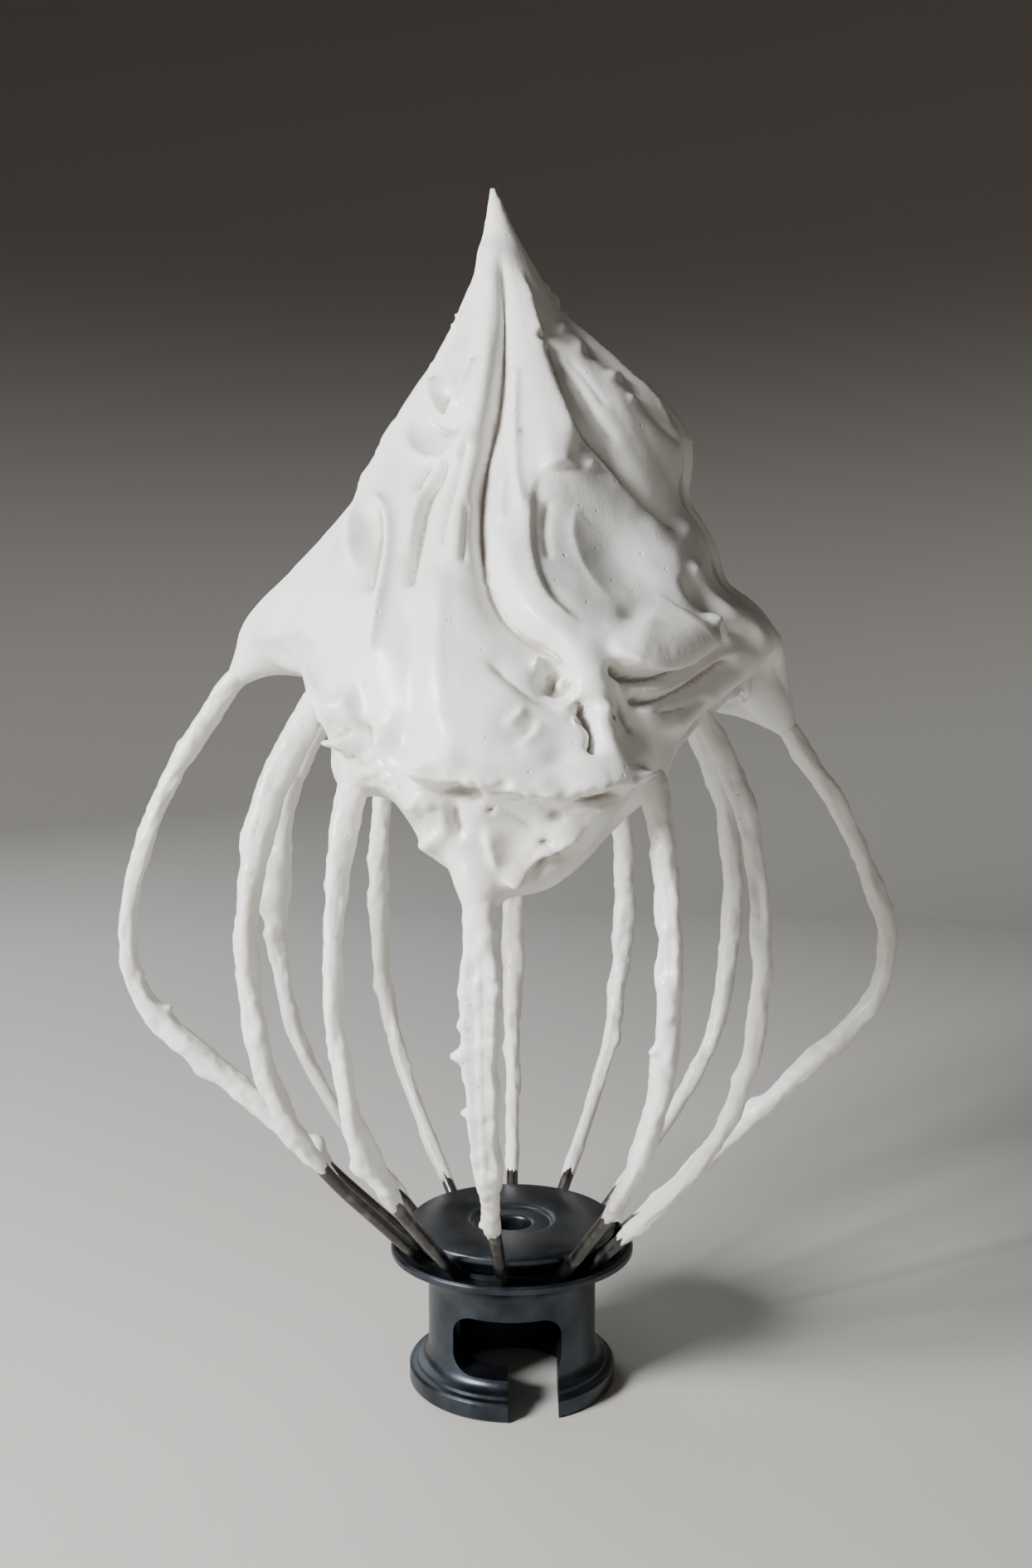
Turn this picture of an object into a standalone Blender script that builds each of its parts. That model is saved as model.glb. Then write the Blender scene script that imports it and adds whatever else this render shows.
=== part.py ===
"""A stand mixer's wire whisk, upside down on its hub, its loops crowned by whipped meringue.

The hub's foot stands on the floor at z = 0, centred on the origin, and the whisk's axis is +Z.
Azimuths are in degrees around that axis: 0 faces -Y (the front), 90 faces +X.
"""

import math

import bmesh
import bpy
from mathutils import Vector

MM = 0.001
GAP = 0.3 * MM

# Hub: a turned collar with a bayonet window, open below
HUB_SIDES = 36
FOOT_RADIUS = 14.15 * MM
FOOT_THICKNESS = 2.5 * MM
COLLAR_RADIUS = 11.5 * MM
FLANGE_RADIUS = 16.65 * MM
FLANGE_TOP = 19.0 * MM
BORE_RADIUS = 7.2 * MM
BORE_DEPTH = 15.0 * MM
CHANNEL_FLOOR = 18.0 * MM
CHANNEL_OUTER = 15.9 * MM
BOSS_RADIUS = 12.3 * MM
BOSS_TOP = 18.7 * MM
WINDOW_X = (-7.8 * MM, 6.6 * MM)
WINDOW_Z = (4.4 * MM, 12.2 * MM)
WINDOW_CORNER = 2.6 * MM
SLOT_X = (-0.5 * MM, 6.1 * MM)
CENTRE_HOLE_RADIUS = 2.6 * MM

# Cap: the disc that closes the hub over the wires' ends
CAP_TOP = 21.9 * MM
CAP_RADIUS = 14.2 * MM
CAP_EDGE = 1.1 * MM
CAP_SEAT_RADIUS = 12.5 * MM
RECESS_RADIUS = 5.7 * MM
RECESS_DEPTH = 0.6 * MM

# Wires: twelve legs of six loops, the pair at left and right bowed wider than the rest
WIRE_RADIUS = 0.85 * MM
WIRE_SIDES = 6
WIRE_STEP = 5.0 * MM
SOCKET_DEPTH = 8.0 * MM
LEG_AZIMUTHS = (-5, 28, 52, 90, 120, 152, 180, -146, -114, -90, -58, -32)
# Radius and height, in millimetres, along a leg from the hub upwards
NARROW_LEG = (
    (14, 19), (20, 25), (28, 33.5), (34.5, 43.5), (37.5, 55), (38, 67), (35.5, 80), (28, 93.5),
    (14, 108),
)
LEFT_LEG = (
    (14, 19), (22.5, 26.5), (31, 34.5), (39.5, 42), (47, 48.5), (51.5, 55), (52.5, 63),
    (50, 73.5), (44, 86.5), (35, 98.5), (21, 109.5),
)
RIGHT_LEG = (
    (14, 19), (22.5, 26.5), (31, 34.5), (39.5, 42), (46.5, 48.5), (50.5, 55), (51, 62),
    (47, 73.5), (39.5, 86), (30.5, 97.5), (18, 107),
)
WIDE_LEGS = {-90: LEFT_LEG, 90: RIGHT_LEG}

# Meringue: a pulled peak over a skirt that hangs in a hem around the wires
PEAK_HEIGHT = 160.8 * MM
PEAK_LEAN = -2.7 * MM
LEAN_START = 140 * MM
SKIRT_TOP = 112 * MM
UNDERSIDE_CENTRE = 88 * MM
FRONT_COLUMNS = 36
BACK_COLUMNS = 20
SPIRE_ROWS = 12
SKIRT_ROWS = 10
UNDERSIDE_ROWS = 6
# Radius and height, in millimetres, of the spire from its tip to the top of the skirt
SPIRE = ((0.45, 160.2), (1.2, 158), (2.6, 154), (4.6, 149.5), (7.6, 144.5), (11.6, 139),
         (15.4, 133.5), (18.8, 127.5), (21.4, 122), (24.2, 117), (27.8, 112))
# Azimuth, widest radius, its height and the hem's lowest height, in degrees and millimetres
HEM = (
    (-170, 39.6, 92, 87), (-143, 35, 95, 90), (-120, 31, 99, 95), (-105, 33, 101, 97),
    (-90, 37.2, 101, 98), (-75, 33, 101.5, 97.5), (-60, 30.5, 100, 96), (-45, 33, 95, 90),
    (-32, 36.5, 90, 85.5), (-20, 38.5, 85, 80), (-10, 40.2, 79, 73), (0, 40.6, 77, 71),
    (9, 40.6, 78, 72), (18, 39.5, 84, 78), (28, 37, 91, 86), (41, 34.5, 95.5, 90),
    (50, 34.6, 98, 92.5), (60, 35.2, 100.5, 95), (75, 35.4, 100, 94.5), (90, 37, 98.5, 93),
    (105, 33.5, 97.5, 93), (120, 32, 96, 91), (150, 37.6, 93, 88), (173, 40, 92, 87),
)
# Swells and hollows of the surface: azimuth, height, radius change, half width along, half height
SWELLS = (
    (84, 129, 4.6, 11, 6.5), (90, 119.5, -1.6, 9, 3), (-85, 127, -2.8, 14, 11),
    (28, 109, -3.2, 7, 6.5), (-32, 128, -1.4, 3.4, 3.4), (-66, 104, 1.4, 6, 5),
    (-150, 118, 2.2, 9, 7), (150, 106, -2.4, 8, 6), (-115, 108, -2.0, 6, 5),
)
# Folds: radius change, half width, then azimuth and height of the points the fold runs through
FOLDS = (
    (1.5, 2.6, ((-19, 148), (-13, 140), (-10, 132), (-11, 125), (-13, 119), (-12, 112), (-9, 105))),
    (-1.8, 2.6, ((-5, 136), (-5, 129), (-7, 122), (-7, 115), (-4, 107), (2, 100), (8, 95), (12, 89))),
    (1.2, 2.6, ((10, 149), (19, 141), (20, 133), (21, 126), (18, 121))),
    (1.1, 2.4, ((9, 120), (5, 116), (5, 108), (8, 103))),
    (1.7, 2.6, ((15, 100.5), (24, 98.7), (32, 98.7), (42, 100.6), (53, 103))),
    (-1.3, 2.6, ((18, 95.7), (27, 94.6), (36, 95.5), (46, 98), (56, 100.5))),
    (-1.4, 2.6, ((19, 138), (23, 131), (27, 126), (33, 121), (44, 117), (58, 115))),
    (-1.2, 2.6, ((-15, 122), (-23, 120), (-26, 115), (-24, 108))),
    (1.3, 2.4, ((-14, 85.4), (-2, 84.4), (8, 83.2), (18, 84.2))),
    (1.2, 2.8, ((-58, 122), (-50, 113), (-46, 104))),
    (-1.4, 3.0, ((-170, 148), (-160, 134), (-158, 120), (-165, 106))),
    (1.4, 3.0, ((165, 146), (150, 132), (142, 119), (140, 106))),
    (1.3, 3.0, ((-130, 138), (-122, 126), (-128, 114))),
)


def polar(radius, azimuth, height):
    """Return the point at a radius, an azimuth in degrees and a height."""
    angle = math.radians(azimuth)
    return Vector((radius * math.sin(angle), -radius * math.cos(angle), height))


def principled(name, colour, metallic, roughness):
    """Make a plain Principled material."""
    material = bpy.data.materials.new(name)
    material.use_nodes = True
    shader = material.node_tree.nodes["Principled BSDF"]
    shader.inputs["Base Color"].default_value = (*colour, 1)
    shader.inputs["Metallic"].default_value = metallic
    shader.inputs["Roughness"].default_value = roughness
    material.diffuse_color = (*colour, 1)
    return material


def add_object(name, mesh_data, material=None):
    """Write a bmesh to a new object in the scene."""
    bmesh.ops.recalc_face_normals(mesh_data, faces=mesh_data.faces)
    mesh = bpy.data.meshes.new(name)
    mesh_data.to_mesh(mesh)
    mesh_data.free()
    if material:
        mesh.materials.append(material)
    mesh.shade_smooth()
    mesh.set_sharp_from_angle(angle=math.radians(40))
    piece = bpy.data.objects.new(name, mesh)
    bpy.context.collection.objects.link(piece)
    return piece


def cut(target, cutter):
    """Subtract a cutter, which stays in the file as a guide."""
    cutter.hide_render = True
    cutter.display_type = "WIRE"
    modifier = target.modifiers.new(cutter.name, "BOOLEAN")
    modifier.operation = "DIFFERENCE"
    modifier.object = cutter


def turn(profile, sides):
    """Turn a closed profile of (radius, height) points around the Z axis."""
    mesh_data = bmesh.new()
    rings = []
    for side in range(sides):
        azimuth = 360 * side / sides
        rings.append([mesh_data.verts.new(polar(r, azimuth, z)) for r, z in profile])
    count = len(profile)
    for side, ring in enumerate(rings):
        following = rings[(side + 1) % sides]
        for i in range(count):
            j = (i + 1) % count
            mesh_data.faces.new((ring[i], ring[j], following[j], following[i]))
    return mesh_data


def arc(centre, radius, start, end, steps):
    """Return points on an arc in a turned profile's plane, its angles in degrees."""
    points = []
    for step in range(steps + 1):
        angle = math.radians(start + (end - start) * step / steps)
        points.append((centre[0] + radius * math.cos(angle), centre[1] + radius * math.sin(angle)))
    return points


def rounded_block(name, x_range, z_range, depth, corner):
    """Make a block from y = 0 to the front, with its upright-face corners rounded."""
    mesh_data = bmesh.new()
    bmesh.ops.create_cube(mesh_data, size=1)
    size = Vector((x_range[1] - x_range[0], depth, z_range[1] - z_range[0]))
    centre = Vector((sum(x_range) / 2, -depth / 2, sum(z_range) / 2))
    for vert in mesh_data.verts:
        vert.co = Vector(a * b for a, b in zip(vert.co, size)) + centre
    if corner:
        edges = [e for e in mesh_data.edges if abs(e.verts[0].co.y - e.verts[1].co.y) > depth / 2]
        bmesh.ops.bevel(mesh_data, geom=edges, offset=corner, segments=4, profile=0.5,
                        affect="EDGES")
    return add_object(name, mesh_data)


def catmull_rom(points, parts):
    """Return a smooth curve through the points, with a number of parts between each pair."""
    padded = [2 * points[0] - points[1], *points, 2 * points[-1] - points[-2]]
    curve = []
    for i in range(len(points) - 1):
        a, b, c, d = padded[i:i + 4]
        for part in range(parts):
            t = part / parts
            curve.append(0.5 * (2 * b + (c - a) * t + (2 * a - 5 * b + 4 * c - d) * t * t
                                + (3 * b - a - 3 * c + d) * t ** 3))
    curve.append(points[-1])
    return curve


def resample(curve, step):
    """Return points evenly spaced along a finely divided curve, with its ends kept."""
    lengths = [0]
    for a, b in zip(curve, curve[1:]):
        lengths.append(lengths[-1] + (b - a).length)
    count = max(2, round(lengths[-1] / step))
    points = []
    index = 0
    for i in range(count + 1):
        target = lengths[-1] * i / count
        while index < len(curve) - 2 and lengths[index + 1] < target:
            index += 1
        share = (target - lengths[index]) / (lengths[index + 1] - lengths[index])
        points.append(curve[index].lerp(curve[index + 1], share))
    return points


def smoothstep(t):
    """Ease from 0 to 1."""
    t = min(max(t, 0), 1)
    return t * t * (3 - 2 * t)


def make_hub(material):
    """Turn the collar with its foot, flange and channel, and cut the bayonet window and slot."""
    profile = [(BORE_RADIUS + 0.4 * MM, 0), (FOOT_RADIUS - 0.5 * MM, 0),
               (FOOT_RADIUS, 0.5 * MM), (FOOT_RADIUS, FOOT_THICKNESS - 0.4 * MM),
               (FOOT_RADIUS - 0.4 * MM, FOOT_THICKNESS),
               (FOOT_RADIUS - 0.9 * MM, FOOT_THICKNESS + 0.1 * MM)]
    fillet = 2.0 * MM
    profile += arc((COLLAR_RADIUS + fillet, FOOT_THICKNESS + 0.6 * MM + fillet), fillet, 255, 180, 3)
    cove = FLANGE_RADIUS - COLLAR_RADIUS - 0.6 * MM
    profile += arc((COLLAR_RADIUS + cove, FLANGE_TOP - 1.2 * MM - cove), cove, 180, 95, 4)
    profile += [(FLANGE_RADIUS, FLANGE_TOP - 0.9 * MM), (FLANGE_RADIUS, FLANGE_TOP - 0.3 * MM),
                (FLANGE_RADIUS - 0.3 * MM, FLANGE_TOP), (CHANNEL_OUTER + 0.1 * MM, FLANGE_TOP - 0.2 * MM),
                (CHANNEL_OUTER - 0.4 * MM, CHANNEL_FLOOR), (BOSS_RADIUS, CHANNEL_FLOOR),
                (BOSS_RADIUS, BOSS_TOP), (CENTRE_HOLE_RADIUS, BOSS_TOP),
                (CENTRE_HOLE_RADIUS, BORE_DEPTH), (BORE_RADIUS, BORE_DEPTH), (BORE_RADIUS, 0.4 * MM)]
    hub = add_object("hub", turn(profile, HUB_SIDES), material)
    cut(hub, rounded_block("window_cutter", WINDOW_X, WINDOW_Z, 20 * MM, WINDOW_CORNER))
    slot_top = WINDOW_Z[0] + WINDOW_CORNER
    cut(hub, rounded_block("slot_cutter", SLOT_X, (-5 * MM, slot_top), 20 * MM, 0))
    return hub


def make_cap(material):
    """Turn the cap with its shallow recess and its centre hole."""
    profile = [(CAP_SEAT_RADIUS, BOSS_TOP + GAP), (CAP_RADIUS, CAP_TOP - CAP_EDGE),
               (CAP_RADIUS, CAP_TOP - 0.35 * MM), (CAP_RADIUS - 0.35 * MM, CAP_TOP),
               (RECESS_RADIUS, CAP_TOP), (RECESS_RADIUS - 0.3 * MM, CAP_TOP - RECESS_DEPTH),
               (CENTRE_HOLE_RADIUS, CAP_TOP - RECESS_DEPTH), (CENTRE_HOLE_RADIUS, BOSS_TOP + GAP)]
    return add_object("cap", turn(profile, HUB_SIDES), material)


def periodic(table, azimuth):
    """Read a table of rows that start with an azimuth, smoothly and right round the axis."""
    count = len(table)
    azimuth = (azimuth - table[0][0]) % 360 + table[0][0]
    index = max(i for i in range(count) if table[i][0] <= azimuth)
    rows = []
    for i in range(index - 1, index + 3):
        row = table[i % count]
        rows.append((row[0] + 360 * (i // count), row[1:]))
    (xa, a), (xb, b), (xc, c), (xd, d) = rows
    t = (azimuth - xb) / (xc - xb)
    values = []
    for va, vb, vc, vd in zip(a, b, c, d):
        start = (vc - va) / (xc - xa) * (xc - xb)
        end = (vd - vb) / (xd - xb) * (xc - xb)
        values.append(vb * (2 * t ** 3 - 3 * t * t + 1) + start * (t ** 3 - 2 * t * t + t)
                      + vc * (3 * t * t - 2 * t ** 3) + end * (t ** 3 - t * t))
    return values


def bezier(points, steps):
    """Return points on a cubic curve, without its first one."""
    a, b, c, d = points
    curve = []
    for step in range(1, steps + 1):
        t = step / steps
        s = 1 - t
        curve.append(a * s ** 3 + 3 * b * s * s * t + 3 * c * s * t * t + d * t ** 3)
    return curve


def meridian(azimuth):
    """Return the meringue's outline at one azimuth, from below its tip to above the centre."""
    radius, height, bottom = (value * MM for value in periodic(HEM, azimuth))
    spire = [Vector((r * MM, z * MM)) for r, z in SPIRE]
    curve = catmull_rom(spire, 6)
    steps = len(curve) - 1
    rows = [curve[round(steps * (i / SPIRE_ROWS) ** 0.9)] for i in range(SPIRE_ROWS + 1)]
    top = rows[-1]
    side = Vector((radius, height))
    drop = top.y - height
    rows += bezier((top, top + Vector((0.3, -0.38)) * drop, side + Vector((0, 0.42)) * drop, side),
                   SKIRT_ROWS)
    depth = height - bottom
    hem_inside = Vector((radius - 1.7 * depth, bottom))
    rows += bezier((side, side - Vector((0, 0.9 * depth)), hem_inside + Vector((0.6 * depth, -0.1 * depth)),
                    hem_inside), 3)
    centre = Vector((0, UNDERSIDE_CENTRE))
    rows += bezier((hem_inside, hem_inside - Vector((0.5 * depth, -0.2 * depth)),
                    centre + Vector((0.4 * radius, 0)), centre), UNDERSIDE_ROWS)[:-1]
    return rows


def along_surface(azimuth_a, azimuth_b, radius):
    """Return the distance around the axis between two azimuths, at a radius."""
    turn_by = (azimuth_b - azimuth_a + 180) % 360 - 180
    return math.radians(turn_by) * radius


def relief(azimuth, radius, height):
    """Return how far the swells and folds move a point of the meringue outwards."""
    change = 0
    for swell_azimuth, swell_height, amount, half_width, half_height in SWELLS:
        across = along_surface(swell_azimuth, azimuth, radius) / (half_width * MM)
        up = (height / MM - swell_height) / half_height
        change += amount * MM * math.exp(-across * across - up * up)
    for amount, half_width, points in FOLDS:
        nearest = 1
        for (azimuth_a, height_a), (azimuth_b, height_b) in zip(points, points[1:]):
            start = Vector((along_surface(azimuth_a, azimuth, radius), height - height_a * MM))
            run = Vector((along_surface(azimuth_a, azimuth_b, radius), (height_b - height_a) * MM))
            share = min(max(start.dot(run) / run.length_squared, 0), 1)
            nearest = min(nearest, (start - run * share).length)
        change += amount * MM * math.exp(-(nearest / (half_width * MM)) ** 2)
    return change * smoothstep((PEAK_HEIGHT - height) / (14 * MM))


def lean(height):
    """Return how far the spire leans along X at a height."""
    return PEAK_LEAN * max(0, (height - LEAN_START) / (PEAK_HEIGHT - LEAN_START)) ** 1.6


def column_azimuths():
    """Return the azimuths of the meringue's columns, closer together at the front."""
    front = [-90 + 180 * i / FRONT_COLUMNS for i in range(FRONT_COLUMNS)]
    return front + [90 + 180 * i / BACK_COLUMNS for i in range(BACK_COLUMNS)]


def make_meringue(material):
    """Loft the meringue through its meridians, and press its swells and folds into it."""
    mesh_data = bmesh.new()
    tip = mesh_data.verts.new((PEAK_LEAN, 0, PEAK_HEIGHT))
    centre = mesh_data.verts.new((0, 0, UNDERSIDE_CENTRE))
    columns = []
    for azimuth in column_azimuths():
        rows = meridian(azimuth)
        outer_rows = SPIRE_ROWS + SKIRT_ROWS + 3
        column = []
        for row, (radius, height) in enumerate(rows):
            if row <= outer_rows:
                radius += relief(azimuth, radius, height)
            point = polar(radius, azimuth, height) + Vector((lean(height), 0, 0))
            column.append(mesh_data.verts.new(point))
        columns.append(column)
    for i, column in enumerate(columns):
        following = columns[(i + 1) % len(columns)]
        mesh_data.faces.new((tip, column[0], following[0]))
        for j in range(len(column) - 1):
            mesh_data.faces.new((column[j], column[j + 1], following[j + 1], following[j]))
        mesh_data.faces.new((column[-1], centre, following[-1]))
    bmesh.ops.triangulate(mesh_data, faces=mesh_data.faces)
    return add_object("meringue", mesh_data, material)


def leg_path(azimuth):
    """Return a leg's centre line, from the hub to where it ends inside the meringue."""
    outline = WIDE_LEGS.get(azimuth, NARROW_LEG)
    curve = catmull_rom([polar(r * MM, azimuth, z * MM) for r, z in outline], 12)
    bottom = periodic(HEM, azimuth)[2] * MM
    curve = [point for point in curve if point.z < bottom + SOCKET_DEPTH]
    return resample(curve, WIRE_STEP)


def add_tube(mesh_data, path, azimuth, radius, extra_length=0):
    """Add a closed round tube along a path that lies in the upright plane of its azimuth."""
    sideways = polar(1, azimuth + 90, 0)
    last = len(path) - 1
    rings = []
    for i, point in enumerate(path):
        along = (path[min(i + 1, last)] - path[max(i - 1, 0)]).normalized()
        outwards = sideways.cross(along)
        if i == last:
            point = point + along * extra_length
        ring = []
        for side in range(WIRE_SIDES):
            angle = 2 * math.pi * side / WIRE_SIDES
            offset = sideways * math.cos(angle) + outwards * math.sin(angle)
            ring.append(mesh_data.verts.new(point + offset * radius))
        rings.append(ring)
    for ring, following in zip(rings, rings[1:]):
        for side in range(WIRE_SIDES):
            after = (side + 1) % WIRE_SIDES
            mesh_data.faces.new((ring[side], ring[after], following[after], following[side]))
    mesh_data.faces.new(rings[0])
    mesh_data.faces.new(rings[-1])


def make_legs(material):
    """Make each wire leg, as one node each."""
    for number, azimuth in enumerate(LEG_AZIMUTHS, 1):
        mesh_data = bmesh.new()
        add_tube(mesh_data, leg_path(azimuth), azimuth, WIRE_RADIUS)
        add_object(f"wire_{number:02d}", mesh_data, material)


def make_socket_cutter():
    """Make the tubes that clear the meringue around the wires' upper ends."""
    mesh_data = bmesh.new()
    for azimuth in LEG_AZIMUTHS:
        path = leg_path(azimuth)
        add_tube(mesh_data, path[-6:], azimuth, WIRE_RADIUS + GAP, GAP)
    return add_object("socket_cutter", mesh_data)


def main():
    """Build the whisk and its meringue."""
    for item in list(bpy.data.objects):
        bpy.data.objects.remove(item)
    cast_metal = principled("cast_metal", (0.035, 0.038, 0.043), 0.85, 0.38)
    wire_steel = principled("wire_steel", (0.10, 0.10, 0.105), 1.0, 0.32)
    whipped_white = principled("whipped_white", (0.86, 0.84, 0.79), 0.0, 0.42)
    make_hub(cast_metal)
    make_cap(cast_metal)
    make_legs(wire_steel)
    meringue = make_meringue(whipped_white)
    cut(meringue, make_socket_cutter())


if __name__ == "__main__":
    main()
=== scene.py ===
"""A stand mixer's wire whisk, upside down on its hub, its loops crowned by whipped meringue.

The hub's foot stands on the floor at z = 0 and the whisk's axis is +Z. Azimuths are in degrees
around that axis: 0 faces -Y, the front, and 90 faces +X.
"""

import math

import bmesh
import bpy
import numpy as np
from bpy.props import FloatProperty, IntProperty, PointerProperty, StringProperty
from mathutils import Matrix, Vector, noise


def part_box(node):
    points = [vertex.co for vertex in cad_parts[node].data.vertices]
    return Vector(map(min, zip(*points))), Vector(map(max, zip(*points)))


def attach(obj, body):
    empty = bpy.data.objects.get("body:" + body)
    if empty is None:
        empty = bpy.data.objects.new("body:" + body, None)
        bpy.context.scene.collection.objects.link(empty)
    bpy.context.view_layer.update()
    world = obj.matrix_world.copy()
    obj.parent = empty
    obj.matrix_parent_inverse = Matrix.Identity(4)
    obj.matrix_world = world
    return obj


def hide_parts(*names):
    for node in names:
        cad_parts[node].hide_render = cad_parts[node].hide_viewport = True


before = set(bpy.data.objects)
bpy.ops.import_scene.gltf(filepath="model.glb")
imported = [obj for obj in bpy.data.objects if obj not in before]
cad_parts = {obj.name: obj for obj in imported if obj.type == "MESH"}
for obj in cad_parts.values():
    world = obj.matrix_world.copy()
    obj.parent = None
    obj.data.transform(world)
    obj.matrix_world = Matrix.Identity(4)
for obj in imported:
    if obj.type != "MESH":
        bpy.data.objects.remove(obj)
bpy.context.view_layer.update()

bl_info = {
    "name": "Meringue Whisk",
    "version": (1, 0, 0),
    "blender": (4, 5, 0),
    "location": "3D View > Sidebar > Whisk",
    "description": "Models a mixer whisk standing on its hub under a peak of whipped meringue",
    "category": "Object",
}

MM = 0.001
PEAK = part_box("meringue")[1].z / MM
WIRE_THICKNESS = 2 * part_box("wire_07")[1].x

# The legs in order round the whisk, and the outlines they are bent to: radius and height in mm
LEG_AZIMUTHS = (-5, 28, 52, 90, 120, 152, 180, -146, -114, -90, -58, -32)
NARROW_LEG = (
    (14, 19), (20, 25), (28, 33.5), (34.5, 43.5), (37.5, 55), (38, 67), (35.5, 80), (28, 93.5),
    (14, 108),
)
LEFT_LEG = (
    (14, 19), (22.5, 26.5), (31, 34.5), (39.5, 42), (47, 48.5), (51.5, 55), (52.5, 63),
    (50, 73.5), (44, 86.5), (35, 98.5), (21, 109.5),
)
RIGHT_LEG = (
    (14, 19), (22.5, 26.5), (31, 34.5), (39.5, 42), (46.5, 48.5), (50.5, 55), (51, 62),
    (47, 73.5), (39.5, 86), (30.5, 97.5), (18, 107),
)
WIDE_LEGS = {-90: LEFT_LEG, 90: RIGHT_LEG}
SOCKET_DEPTH = 8.0

# Where the camera stands, in mm. The front folds are drawn on the upright plane through the
# axis, each in line with its place on the surface as seen from here.
EYE = (0.56, -191.0, 93.0)
EYE_TILT = 3.33

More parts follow.
